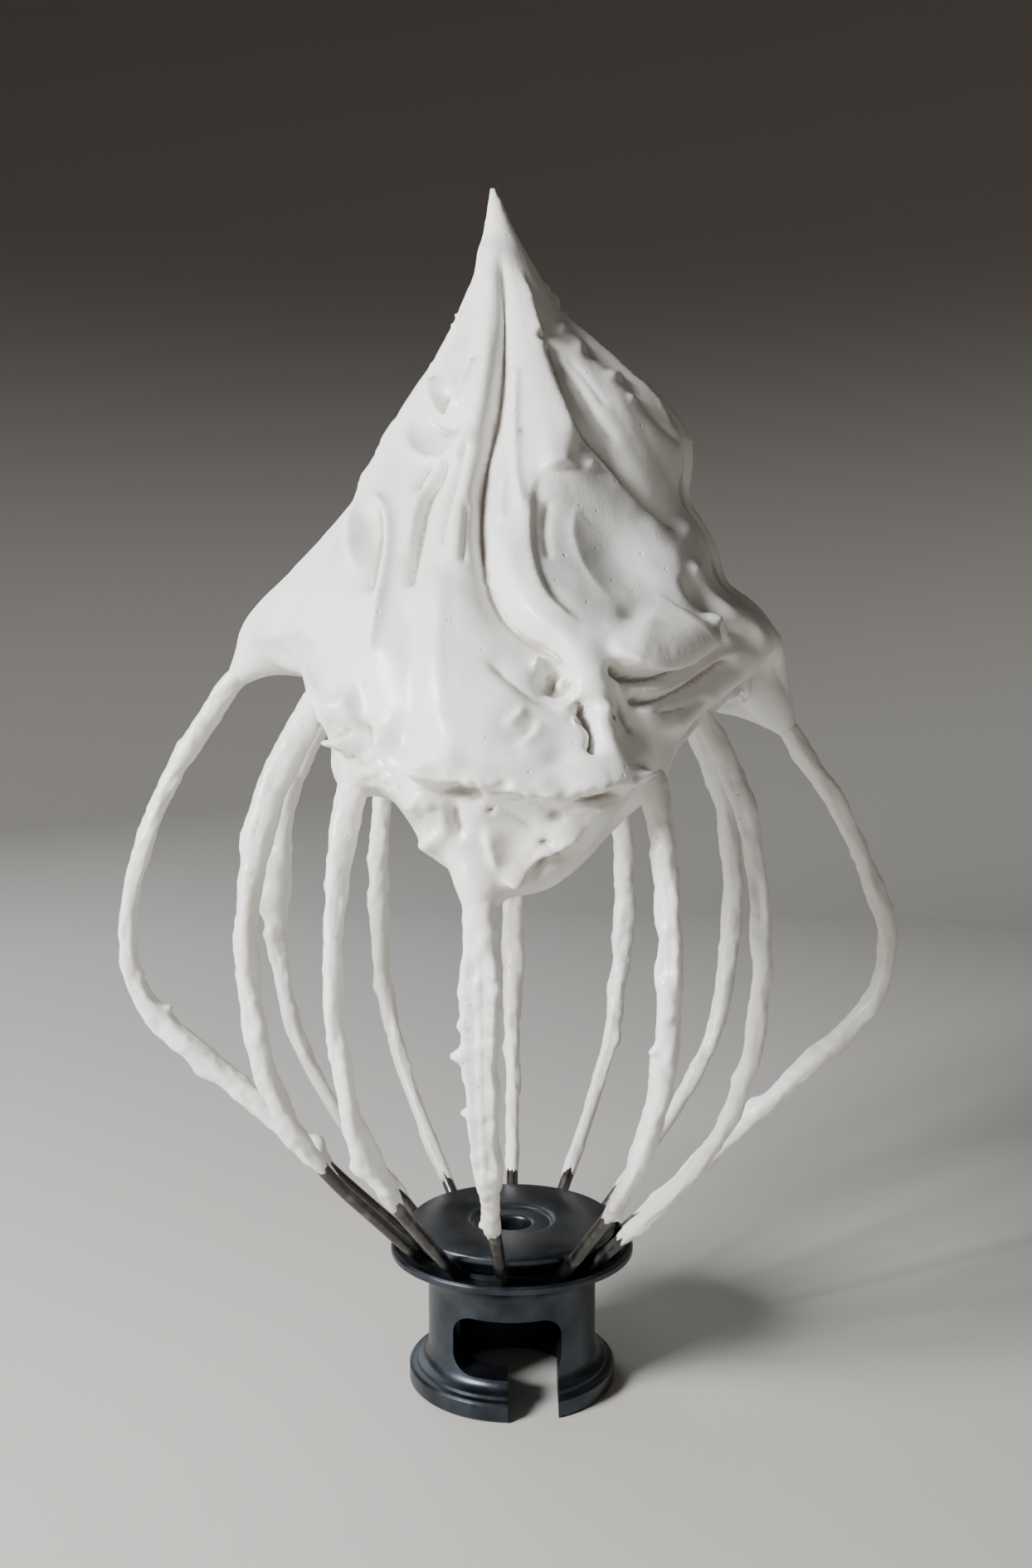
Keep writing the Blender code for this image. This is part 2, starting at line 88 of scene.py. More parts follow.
# Folds at the front: height, half width on the left of the stroke's direction and on its right,
# sharpness (1 a crease, 2 a round), then the stroke's points, all in mm
FRONT_FOLDS = (
    ("trough behind the left rim", -1.3, 2.4, 1.0, 1.8,
     ((-4.5, 151), (-6.5, 144), (-8.5, 138), (-10, 134))),
    ("loop around the pit", 1.2, 0.6, 0.6, 1.4,
     ((-11.7, 136.5), (-11.6, 133), (-10.3, 131.3), (-8.6, 132), (-7, 135), (-5.5, 139))),
    ("shade under the loop", -1.1, 0.5, 2.2, 1.5,
     ((-13, 131), (-11, 130.3), (-8.5, 130.3), (-7, 131.8))),
    ("rim of the second scoop", 0.9, 0.7, 1.4, 1.5,
     ((-14.3, 131), (-14.3, 128), (-12.8, 126), (-10, 125.5), (-7.5, 127.2), (-6, 130.5))),
    ("broad centre ridge", 1.3, 2.2, 2.6, 1.8,
     ((-2.8, 157), (-2.8, 148), (-3.5, 140), (-5, 131), (-6.5, 120), (-8, 110))),
    ("main crease", -1.7, 1.0, 1.4, 1.2,
     ((-1.6, 153), (-1.2, 146), (-1.2, 139), (-1.8, 132), (-3.2, 126), (-4, 120), (-3.8, 114),
      (-2.7, 108.5), (-0.8, 104.5), (2, 101.8), (5.5, 99.5), (8.5, 96))),
    ("ridge in the ribbon", 0.6, 0.7, 0.8, 1.5,
     ((0.4, 138), (0.3, 130), (0.8, 123), (1.7, 118))),
    ("small ridge in the ribbon", 0.4, 0.6, 0.6, 1.5,
     ((-1, 124), (-1.3, 119), (-1.2, 116.5))),
    ("swell of the ribbon", 0.9, 2.2, 2.2, 2,
     ((-0.5, 117), (0, 110), (2.5, 105.3), (7, 101.5), (11, 97), (12.5, 90))),
    ("flap edge", 1.1, 0.4, 4.5, 1.4,
     ((0.8, 151), (3.5, 143.5), (5.3, 137.5), (7, 131.5), (8.4, 126.5), (8.6, 124.8))),
    ("flap foot", 1.1, 0.35, 2.5, 1.4,
     ((9, 124.8), (6, 124.5), (3.2, 124.2))),
    ("ribbon edge over the scoop", 0.7, 0.5, 2.5, 1.4,
     ((3.4, 124.4), (2.7, 121), (2.5, 117), (2.7, 113), (3.4, 110), (4.8, 107), (7, 105), (10, 103))),
    ("scoop floor by the ribbon", -0.3, 2.2, 0.8, 1.4,
     ((5.5, 123.5), (3.2, 121.5), (2.9, 117), (3.1, 113), (3.9, 110), (5.2, 107.3), (7.5, 105))),
    ("groove in the scoop", -0.5, 0.6, 0.6, 1.4,
     ((5, 120.5), (4.6, 116), (5.2, 112))),
    ("inner swell of the scoop", 0.25, 2.0, 0.5, 1.3,
     ((11, 119.4), (8.7, 118.8), (8.2, 116), (9, 113), (10.8, 109.8), (13.5, 106.8))),
    ("tongue", 1.9, 3.5, 0.5, 1.4,
     ((12.5, 101.5), (15, 99.2), (18, 97.8), (21.5, 97.8), (25, 99.7), (27.8, 102.5), (28.8, 104.8))),
    ("rim beyond the tongue", 0.8, 0.5, 0.5, 1.4,
     ((27, 106.3), (29.5, 104.3), (31, 102))),
    ("shade behind the tongue", -1.7, 1.8, 0.8, 1.3,
     ((22.5, 110.3), (26, 107.8), (29.3, 105.2), (31.6, 102.5), (31.8, 100.5))),
    ("deep crevice", -3.0, 0.8, 0.9, 1.1,
     ((12.8, 98.5), (14.5, 96.8), (17, 95.9), (20, 95.7), (24, 97), (28, 99.3), (31, 101.5))),
    ("band under the crevice", 0.8, 0.7, 0.7, 1.4,
     ((15.5, 94.9), (20, 94.6), (24, 95.9), (28, 98.2), (31.5, 100.5))),
    ("second crevice", -1.6, 0.6, 0.7, 1.1,
     ((16, 93.8), (19.5, 93.2), (23.5, 94.4), (27.5, 96.9), (30.5, 99))),
    ("line under the second band", -0.7, 0.6, 0.7, 1.2,
     ((19.5, 91.5), (22.5, 91.9), (26.5, 94))),
    ("valley beside the ribbon end", -2.4, 1.2, 2.8, 1.5,
     ((14.5, 96), (16, 92.5), (18, 89), (19, 85.5))),
    ("thin rim along the bands", 0.7, 0.45, 0.45, 1.3,
     ((13.3, 97), (14.8, 94.8), (17, 92.4), (20, 91.3))),
    ("rim of the right lobe", 1.1, 1.2, 1.0, 1.8,
     ((24, 112.5), (29, 108.5), (32.5, 104.5), (33.8, 101.3), (32, 98.3), (28, 95), (23, 91.2),
      (20.5, 88))),
    ("fall behind the lobe's rim", -2.4, 3.5, 0.6, 1.5,
     ((37.5, 101), (35.5, 98.5), (31, 94.5), (26.5, 90.3), (22, 86.5))),
    ("right shoulder crease", -1.5, 1.2, 0.6, 1.1,
     ((4.3, 141.5), (6.5, 135.5), (9.5, 129.8), (12.5, 125.8), (16, 121.8), (20, 118.3), (24, 115.8))),
    ("scoop's brow by the crease", 0.6, 0.5, 2.5, 1.5,
     ((8.6, 129), (12, 124.6), (15.5, 120.7), (19.5, 117.3), (23, 115.3))),
    ("second shoulder crease", -0.6, 0.5, 0.9, 1.2,
     ((6, 140), (8.7, 136), (11.5, 131.2), (14.5, 127))),
    ("third shoulder line", -0.3, 0.5, 0.5, 1.3,
     ((7.5, 139.5), (10.5, 135.5), (13, 132))),
    ("lumpy groove", -0.9, 0.5, 0.9, 1.2,
     ((9.5, 142.5), (11, 139.8), (13.5, 138), (16, 135.3), (18.5, 132.3), (21, 129.8), (24, 127))),
    ("strand", -1.3, 0.7, 0.45, 1.1,
     ((-8.5, 126), (-9.7, 123), (-11.3, 120.3), (-12.3, 116.5), (-13.3, 111.5), (-13.8, 108))),
    ("strand edge", 0.7, 0.4, 2, 1.4,
     ((-9.5, 125.5), (-10.7, 122.5), (-12.2, 120), (-13.2, 116), (-14, 111.5))),
    ("second strand", -0.8, 0.8, 0.6, 1.3,
     ((-6, 128), (-7.3, 122.5), (-8.4, 118), (-9.3, 113))),
    ("short strand", -0.8, 0.6, 0.6, 1.3,
     ((-10.5, 125.3), (-12, 123), (-13, 120.5))),
    ("thin strand", -0.5, 0.5, 0.5, 1.3,
     ((-6.2, 120), (-6.6, 111))),
    ("ear ridge", 1.0, 0.8, 0.8, 1.4,
     ((-19, 121), (-17.3, 119), (-16.6, 116), (-17, 111), (-18, 105), (-19, 99))),
    ("ear groove", -1.1, 0.6, 0.8, 1.3,
     ((-18, 120), (-17.8, 116), (-18.3, 111.5), (-19, 107))),
    ("ear edge", 0.8, 1.2, 0.6, 1.5,
     ((-20.8, 119.5), (-21.8, 116), (-21.5, 112.5), (-20.5, 109.5))),
    ("left lobe crest", 0.8, 1.6, 1.4, 1.6,
     ((-36, 100.5), (-32, 102), (-28, 102.5), (-24.5, 100))),
    ("flow line on the belly", -0.8, 1.5, 0.6, 1.3,
     ((-4, 99.5), (-1, 96.5), (2.5, 93.8), (8, 91.5))),
    ("crescent on the belly", 0.7, 0.5, 1.2, 1.4,
     ((-1.5, 89.8), (0.5, 91), (2, 92.8))),
    ("second crescent", 0.8, 0.5, 1.6, 1.4,
     ((0, 86.5), (2.5, 88.2), (4.2, 91))),
    ("soft hollow above the lip", -0.7, 1.6, 1.6, 1.8,
     ((-9.5, 85.5), (-3, 84.5), (4, 84), (9, 86.5))),
    ("broad fold left of the middle", 0.5, 1.6, 1.8, 1.8,
     ((-9.5, 112), (-10, 103), (-9.8, 95), (-9.3, 87))),
    ("soft hollow left of the middle", -0.4, 1.8, 1.8, 1.8,
     ((-14, 108), (-14, 98), (-13.5, 90), (-12.5, 84))),
    ("edge above the torn hollow", 1.3, 2, 0.4, 1.3,
     ((3.2, 99.7), (6, 98.2), (8.5, 95), (9.8, 92))),
    ("torn cleft", -3.0, 0.7, 0.5, 1.1,
     ((8.6, 93.5), (9.8, 91), (10.6, 88.5), (10.7, 84.8))),
    ("belly over the lip", 1.7, 8, 0.9, 1.7,
     ((-13, 83), (-9, 82.3), (-4, 81.8), (0, 81.2), (6.5, 79.6), (12, 81.2), (19, 83.5))),
    ("torn lip", 0.8, 2, 0.45, 1.4,
     ((-12, 83.3), (-9, 82.5), (-4, 82), (0, 81.3), (3, 80.6), (6.5, 79.8), (9, 80.8), (12, 81.6),
      (15, 82.2), (17.8, 83.3))),
    ("recess under the lip's left", -0.8, 0.5, 2.0, 1.5,
     ((-10, 81.8), (-7, 81.2), (-3, 80.8))),
    ("recess under the lip's right", -1.0, 0.4, 1.6, 1.4,
     ((6, 78.9), (9.5, 79.9), (13, 80.6), (16, 81.6))),
    ("slanting line on the chin", -0.4, 1.2, 0.6, 1.4,
     ((-8, 80.5), (-3, 79), (0.5, 77), (4, 74.5))),
    ("lower torn lip", 1.2, 2, 0.4, 1.3,
     ((7.5, 78), (10.5, 78.5), (14.2, 79.5))),
    ("lower chin edge", 1.6, 0.45, 3, 1.4,
     ((10.5, 76.5), (8, 74), (5, 72.6), (2.5, 71), (0.5, 68.8))),
    ("left chin edge", 1.1, 2.5, 0.5, 1.4,
     ((-3.8, 76.5), (-3, 72.5), (-1.8, 69.3))),
    ("beard hollow", -1.2, 1.5, 0.9, 1.6,
     ((-8.5, 80.5), (-8, 77), (-7, 73))),
    ("curl by the left leg", 1.0, 0.45, 1.8, 1.4,
     ((-21.5, 96), (-21, 92), (-20.3, 88))),
    ("second curl by the left leg", 1.0, 1.8, 0.45, 1.4,
     ((-18.3, 91.5), (-18, 87), (-16.3, 83.5), (-14.2, 80.3))),
    ("groove between the curls", -1.2, 0.7, 0.7, 1.3,
     ((-20, 91), (-19.5, 87.5), (-17.6, 84), (-15.5, 81.5))),
)
# Dents and lumps at the front: height, half width, half height and place, in mm
FRONT_DABS = (
    ("pit", -2.4, 0.8, 1.5, (-10.2, 133)),
    ("second scoop", -1.3, 3, 2.4, (-11, 128.8)),
    ("bowl of the scoop", -0.4, 6, 6.5, (12, 112)),
    ("dimple over the tongue", -0.6, 1.8, 1.3, (16.5, 105)),
    ("pit behind the tongue", -1.6, 1.4, 1.8, (31.6, 102.2)),
    ("body of the tongue", 0.7, 5, 2.2, (21, 102)),
    ("torn hollow", -2.6, 2.4, 1.9, (6.2, 95.8)),
    ("lump", 1.0, 1.5, 1.2, (13.2, 91.7)),
    ("hole in the lump", -1.5, 0.6, 0.6, (14.1, 91.3)),
    ("ear dent", -1.0, 1.2, 2.2, (-19.4, 116.5)),
    ("belly scoop", -0.9, 3.4, 3.0, (2, 89)),
    ("left dent", -0.8, 1.6, 3.2, (-15.4, 88)),
    ("swell of the ribbon end", 0.7, 2.4, 3.4, (12.2, 88.5)),
    ("wedge under the beak", -1.2, 2.4, 1.1, (-7, 80.7)),
    ("torn hollow in the lip", -1.4, 3, 0.7, (11.5, 80)),
    ("lip pit", -0.6, 0.7, 0.5, (-1, 81.8)),
    ("chin pit", -0.7, 0.5, 0.4, (-3, 78.2)),
    ("chin dent", -0.7, 1.1, 0.9, (6, 77.3)),
    ("chin hole", -0.8, 0.8, 0.5, (4.5, 73.8)),
    ("beard lump", 0.9, 1.5, 1.5, (-11.8, 79.3)),
    ("low beard lump", 0.8, 1.2, 1.2, (-10.3, 74)),
    ("shoulder lump", 0.6, 1.0, 1.0, (9.8, 140.6)),
    ("shoulder lump 2", 0.6, 1.0, 0.8, (14, 136.7)),
    ("shoulder lump 3", 0.35, 0.6, 0.6, (16.2, 133.6)),
    ("shoulder lump 4", 0.3, 0.6, 0.6, (7.6, 143)),
    ("bump", 0.45, 0.6, 0.6, (10.3, 124.5)),
    ("notch in the flap", -0.8, 0.6, 0.6, (4.1, 141.3)),
    ("ribbon bump", 0.4, 0.6, 0.6, (0.7, 128.6)),
    ("speck", 0.35, 0.5, 0.5, (-2.7, 110.2)),
)
# Places where the front is drawn out or pushed: half width, half height, place on the plane and
# the pull along X, Y and Z, in mm
FRONT_PULLS = (
    ("slimmer peak on the left", 7, 13, (-11, 139), (1.4, 0, 0)),
    ("slimmer peak on the right", 4, 5, (8, 145), (-0.8, 0, -0.3)),
    ("flatter top of the lobe", 6, 6, (31, 109.5), (-2.4, 0.6, -1.2)),
    ("beak", 1.3, 1.1, (-10.8, 82.7), (-2.4, -1.2, 0.6)),
    ("end of the lip", 1.2, 0.9, (16.8, 82.8), (1.6, -1.0, 0.8)),
    ("spike at the left hem", 1.1, 1.0, (-21.6, 87.2), (-3.2, -1.2, 0.2)),
    ("curl at the left hem", 1.6, 2.4, (-22.8, 92), (-2.0, -1.2, 0)),
    ("chin that falls back", 9, 5.5, (2.5, 74), (0, 3.3, 0)),
    ("point of the chin", 1.6, 1.4, (0.4, 69.6), (0, -1.6, -1.5)),
    ("tip of the tongue", 1.3, 1.1, (28.3, 104.4), (0.9, -0.7, 0.5)),
    ("shred over the torn hollow", 0.8, 0.7, (3.9, 98.2), (-0.4, -0.9, 1.1)),
    ("second shred", 0.6, 0.6, (7, 96), (-0.5, -0.8, 0.3)),
    ("shred by the cleft", 0.6, 0.6, (9.2, 90.3), (-0.8, -0.8, 0.4)),
    ("beard's cheek", 1.8, 1.8, (-12.8, 79.3), (-1.0, -0.3, 0)),
    ("beard's low lump", 1.3, 1.3, (-11, 73.5), (-0.9, -0.3, 0)),
)

# Folds whose edges are torn and uneven
RAGGED = ("torn lip", "lower torn lip", "torn cleft", "lower chin edge")
# Where the foam is torn rough, drawn as the folds are
TORN = (
    ("lip", 0.8, 1.0, 1.4, 2, ((-11.5, 83), (-5.5, 82), (2.5, 80.5), (8.5, 80), (17.5, 83))),
    ("hollow and cleft", 1.2, 1.3, 2.2, 2, ((3.5, 99), (6, 96.5), (8.6, 93), (10.6, 88))),
    ("chin", 0.7, 2.0, 2.0, 2, ((9, 74), (4, 71.5), (0.5, 68.5))),
    ("beard", 0.7, 2.0, 2.5, 2, ((-11, 82), (-10.5, 77), (-9.5, 72))),
    ("left hem", 0.8, 1.2, 2.5, 2, ((-23.5, 93), (-21, 86.5), (-17, 82), (-13, 79.5))),
)
DRUM_RADIUS = 30.0
# The roll of foam along the hem: azimuth, drop below the plain solid's edge and radius, in mm
HEM_ROLL = (
    (-180, 0.5, 2.1), (-120, 0.3, 2.1), (-90, 0, 2.1), (-60, 0.5, 2.1), (-45, 2.0, 2.1),
    (-33, 3.0, 2.1), (-22, 1.2, 1.6), (-10, 0.2, 1.1), (10, 0.2, 1.1), (25, 1.2, 1.8),
    (40, 1.6, 2.1), (55, 1.4, 2.1), (75, 1.2, 2.1), (90, 1.2, 2.1), (130, 0.5, 2.1), (180, 0.5, 2.1),
)
ROOT_LENGTHS = (5, 5, 4, 9, 4, 4, 4, 4, 6, 7, 8, 6)
ROOT_RADII = (4.2, 4.0, 3.5, 5.0, 3.5, 3.5, 3.5, 3.5, 4.0, 4.0, 4.2, 4.0)
LENS_SHARE = 0.9

# Coats, in the order of the legs: height of the lower end, then height and thickness up the leg,
# lumps (height, side, size, half width) and thin streaks (lowest and highest height, side, half
# width). A side is an angle round the leg: 0 faces outwards, 90 towards the next azimuth
COATS = (
    (27.5, ((30, 2.1), (36, 2.7), (41, 3.6), (51, 3.9), (61, 4.6), (72, 4.0)),
     ((54, -85, 1.2, 0.6), (47, -95, 0.9, 0.5), (57.5, -80, 0.6, 0.7), (31, -70, 0.7, 0.5)),
     ((38, 67, -8, 26),)),
    (28.8, ((31, 1.9), (35, 2.5), (50, 2.9), (70, 2.9), (84, 3.2)),
     ((53.5, -90, 0.9, 0.5), (33, -60, 0.9, 0.9), (31, 40, 0.6, 0.6)), ((60, 75, -55, 24),)),
    (22, ((26, 2.0), (45, 2.3), (68, 2.3), (85, 2.8)), (), ()),
    (21, ((26, 2.2), (36, 2.9), (53, 2.7), (76, 2.5), (95, 2.6)),
     ((30, 0, 0.6, 1.2), (37, 160, 0.6, 1.0)), ()),
    (21, ((30, 1.9), (45, 2.5), (61, 3.0), (82, 3.0)), ((56, 40, 0.7, 1.8),), ()),
    (21, ((30, 1.9), (45, 2.6), (59, 3.5), (82, 3.0)), ((40, -80, 0.7, 1.2),), ()),
    (21, ((30, 2.0), (42, 2.5), (52, 3.9), (61, 3.3), (80, 3.2)), ((38, 70, 0.6, 1.0),), ()),
    (21, ((30, 1.9), (45, 2.4), (60, 3.2), (82, 3.2)), ((48, 60, 0.6, 1.4),), ()),
    (21, ((36, 2.1), (50, 2.5), (60, 3.4), (68, 4.4), (77, 2.8), (90, 3.4)),
     ((64, 70, 1.2, 2.2), (59, 80, 0.8, 1.2)), ()),
    (27.8, ((31, 3.2), (35, 2.8), (45, 3.4), (53, 2.9), (64, 2.3), (87, 2.8)),
     ((31.5, 180, 1.2, 1.1), (50, 180, 1.0, 0.5), (44, 0, 0.6, 1.4), (38, 170, 0.6, 1.0),
      (55.5, 180, 0.5, 0.6)), ()),
    (32.6, ((36, 2.4), (46, 3.0), (57, 2.8), (67, 2.7), (77, 3.9)),
     ((66.5, 180, 0.5, 0.9), (52, 60, 0.5, 1.0)), ()),
    (30.5, ((34, 2.3), (38.7, 3.4), (44.5, 2.3), (60, 2.3), (66, 2.0), (78, 3.3)),
     ((38, -80, 0.9, 1.1), (35, 60, 0.7, 0.9), (72, -90, 0.5, 1.0)), ((66, 68, 10, 30),)),
)


class WhiskSizes(bpy.types.PropertyGroup):
    """Sizes of the hub, the wires and the meringue's surface."""

    foot_radius: FloatProperty(
        name="Foot Radius", description="Radius of the ring that the hub stands on",
        default=14.15 * MM, unit="LENGTH")
    collar_radius: FloatProperty(
        name="Collar Radius", description="Radius of the hub's collar between foot and flange",
        default=11.5 * MM, unit="LENGTH")
    flange_radius: FloatProperty(
        name="Flange Radius", description="Radius of the flange that the wires rise from",
        default=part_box("hub")[1].x, unit="LENGTH")
    flange_top: FloatProperty(
        name="Flange Height", description="Height of the flange's upper rim above the floor",
        default=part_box("hub")[1].z, unit="LENGTH")
    bore_radius: FloatProperty(
        name="Bore Radius", description="Radius of the bore that takes the mixer's shaft",
        default=7.2 * MM, unit="LENGTH")
    cap_radius: FloatProperty(
        name="Cap Radius", description="Radius of the disc that closes the hub",
        default=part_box("cap")[1].x, unit="LENGTH")
    edge_round: FloatProperty(
        name="Edge Round", description="How far the cast edges are rounded by tumbling",
        default=0.28 * MM, unit="LENGTH")
    wire_radius: FloatProperty(
        name="Wire Radius", description="Radius of the whisk's wire",
        default=WIRE_THICKNESS / 2, unit="LENGTH")
    foam_cell: FloatProperty(
        name="Foam Cell", description="Size of the meringue's surface cells, halved at the front",
        default=0.72 * MM, unit="LENGTH")
    seed: IntProperty(
        name="Seed", description="Changes the lie of the small lumps and streaks", default=7)


class WhiskColours(bpy.types.PropertyGroup):
    """Colours of the finishes, as sRGB hex values."""

    foam: StringProperty(
        name="Foam", description="Whipped egg white in full light", default="F6F5F1")
    foam_shade: StringProperty(
        name="Foam Shade", description="Whipped egg white where the sugar syrup gathers",
        default="ECE9E2")
    # Painted shade: the colour that the deep folds are darkened to, standing in for the light lost between their
    # walls
    foam_fold_shade: StringProperty(
        name="Foam Fold", description="Whipped egg white deep in its folds", default="A2978A")
    hub: StringProperty(
        name="Hub", description="Burnished cast aluminium, darkened by dishwashing", default="33373C")
    wire: StringProperty(name="Wire", description="Drawn steel wire", default="5C5A58")
    floor: StringProperty(name="Floor", description="Matt paper underfoot", default="CFCBC4")
    backdrop: StringProperty(
        name="Backdrop", description="Matt paper at the back of the stage", default="5E5750")


def linear(text):
    """Turn an sRGB hex value to a linear colour."""
    channels = []
    for i in range(0, 6, 2):
        value = int(text[i:i + 2], 16) / 255
        channels.append(value / 12.92 if value <= 0.04045 else ((value + 0.055) / 1.055) ** 2.4)
    return (*channels, 1.0)


def add_node(tree, kind, values=None, links=None, **settings):
    """Add a node with its settings, its socket values and its links from other sockets."""
    node = tree.nodes.new(kind)
    for name, setting in settings.items():
        setattr(node, name, setting)
    for socket, value in (values or {}).items():
        node.inputs[socket].default_value = value
    for socket, source in (links or {}).items():
        tree.links.new(source, node.inputs[socket])
    return node


def new_material(name):
    """Make an empty material, and return it with its tree and its output node."""
    material = bpy.data.materials.new(name)
    material.use_nodes = True
    material.node_tree.nodes.clear()
    return material, material.node_tree, add_node(material.node_tree, "ShaderNodeOutputMaterial")


def colour_ramp(tree, factor, stops):
    """Add a colour ramp, its stops given as position and colour."""
    ramp = add_node(tree, "ShaderNodeValToRGB", links={"Fac": factor})
    elements = ramp.color_ramp.elements
    while len(elements) < len(stops):
        elements.new(0.5)
    for element, (position, colour) in zip(elements, stops):
        element.position = position
        element.color = colour
    return ramp


def whipped_egg_white(colours):
    """Whipped egg white with sugar: bright, satin, with light passing a few mm into the foam."""
    material, tree, output = new_material("whipped_egg_white")
    place = add_node(tree, "ShaderNodeTexCoord").outputs["Object"]
    # Syrup gathers in patches about 14 mm across, a touch darker and glossier
    patches = add_node(tree, "ShaderNodeTexNoise", {"Scale": 1 / (14 * MM), "Detail": 3.0},
                       {"Vector": place})
    colour = colour_ramp(tree, patches.outputs["Fac"],
                         ((0.35, linear(colours.foam_shade)), (0.62, linear(colours.foam))))
    # Painted shade: deep in a fold the colour is darkened towards a warm grey, standing in for the little light
    # that comes back out
    hollow = add_node(tree, "ShaderNodeAttribute", attribute_name="hollow")
    depth = add_node(tree, "ShaderNodeMapRange", {"From Min": 0.25, "From Max": 1.0, "To Max": 0.7},
                     {"Value": hollow.outputs["Fac"]}, interpolation_type="SMOOTHSTEP")
    fold_shaded = add_node(tree, "ShaderNodeMixRGB", {"Color2": linear(colours.foam_fold_shade)},
                      {"Fac": depth.outputs[0], "Color1": colour.outputs["Color"]})
    gloss = add_node(tree, "ShaderNodeMapRange", {"From Min": 0.3, "From Max": 0.7,
                                                  "To Min": 0.34, "To Max": 0.46},
                     {"Value": patches.outputs["Fac"]})
    # Burst bubbles about 0.5 mm across, each a tiny round pit, only in scattered places
    cells = add_node(tree, "ShaderNodeTexVoronoi", {"Scale": 1 / (1.5 * MM), "Randomness": 1.0},
                     {"Vector": place})
    pits = add_node(tree, "ShaderNodeMapRange", {"From Min": 0.0, "From Max": 0.2,
                                                 "To Min": 1.0, "To Max": 0.0},
                    {"Value": cells.outputs["Distance"]}, interpolation_type="SMOOTHSTEP")
    chosen = add_node(tree, "ShaderNodeTexNoise", {"Scale": 1 / (2.5 * MM), "Detail": 0.0},
                      {"Vector": place})
    where = add_node(tree, "ShaderNodeMapRange", {"From Min": 0.56, "From Max": 0.62},
                     {"Value": chosen.outputs["Fac"]})
    scattered = add_node(tree, "ShaderNodeMath", operation="MULTIPLY",
                         links={0: pits.outputs[0], 1: where.outputs[0]})
    # The foam's own grain, bubbles of about 0.3 mm too small to stand out singly
    grain = add_node(tree, "ShaderNodeTexNoise", {"Scale": 1 / (0.55 * MM), "Detail": 3.0},
                     {"Vector": place})
    grained = add_node(tree, "ShaderNodeBump", {"Strength": 0.35, "Distance": 0.09 * MM},
                       {"Height": grain.outputs["Fac"]})
    pitted = add_node(tree, "ShaderNodeBump", {"Strength": 0.7, "Distance": 0.16 * MM},
                      {"Height": scattered.outputs[0], "Normal": grained.outputs["Normal"]},
                      invert=True)
    shader = add_node(tree, "ShaderNodeBsdfPrincipled",
                      {"Subsurface Weight": 0.18, "Subsurface Radius": (1.0, 0.9, 0.72),
                       "Subsurface Scale": 0.8 * MM, "IOR": 1.4, "Coat Weight": 0.3,
                       "Coat Roughness": 0.2},
                      {"Base Color": fold_shaded.outputs["Color"], "Roughness": gloss.outputs[0],
                       "Normal": pitted.outputs["Normal"]})
    tree.links.new(shader.outputs["BSDF"], output.inputs["Surface"])
    return material


def burnished_cast_aluminium(colours):
    """Cast aluminium, burnished and darkened: nearly black, with soft cool highlights on its rims."""
    material, tree, output = new_material("burnished_cast_aluminium")
    place = add_node(tree, "ShaderNodeTexCoord").outputs["Object"]
    # Grey bloom from washing, in clouds about 6 mm across
    bloom = add_node(tree, "ShaderNodeTexNoise", {"Scale": 1 / (6 * MM), "Detail": 6.0,
                                                  "Roughness": 0.65}, {"Vector": place})
    colour = colour_ramp(tree, bloom.outputs["Fac"],
                         ((0.35, linear(colours.hub)), (0.75, linear("50565D"))))
    polish = add_node(tree, "ShaderNodeMapRange", {"From Min": 0.3, "From Max": 0.7,
                                                   "To Min": 0.27, "To Max": 0.42},
                      {"Value": bloom.outputs["Fac"]})
    # The burnishing tool's fine lines run round the axis, about 0.35 mm apart
    split = add_node(tree, "ShaderNodeSeparateXYZ", links={"Vector": place})
    flat = add_node(tree, "ShaderNodeCombineXYZ",
                    links={"X": split.outputs["X"], "Y": split.outputs["Y"]})
    radius = add_node(tree, "ShaderNodeVectorMath", operation="LENGTH",
                      links={0: flat.outputs["Vector"]})
    profile = add_node(tree, "ShaderNodeCombineXYZ",
                       links={"X": radius.outputs["Value"], "Y": split.outputs["Z"]})
    lines = add_node(tree, "ShaderNodeTexNoise", {"Scale": 1 / (0.35 * MM), "Detail": 2.0},
                     {"Vector": profile.outputs["Vector"]}, noise_dimensions="2D")
    turned = add_node(tree, "ShaderNodeBump", {"Strength": 0.25, "Distance": 0.02 * MM},
                      {"Height": lines.outputs["Fac"]})
    casting = add_node(tree, "ShaderNodeTexNoise", {"Scale": 1 / (0.9 * MM), "Detail": 4.0},
                       {"Vector": place})
    cast = add_node(tree, "ShaderNodeBump", {"Strength": 0.3, "Distance": 0.05 * MM},
                    {"Height": casting.outputs["Fac"], "Normal": turned.outputs["Normal"]})
    shader = add_node(tree, "ShaderNodeBsdfPrincipled", {"Metallic": 0.9},
                      {"Base Color": colour.outputs["Color"], "Roughness": polish.outputs[0],
                       "Normal": cast.outputs["Normal"]})
    tree.links.new(shader.outputs["BSDF"], output.inputs["Surface"])
    return material


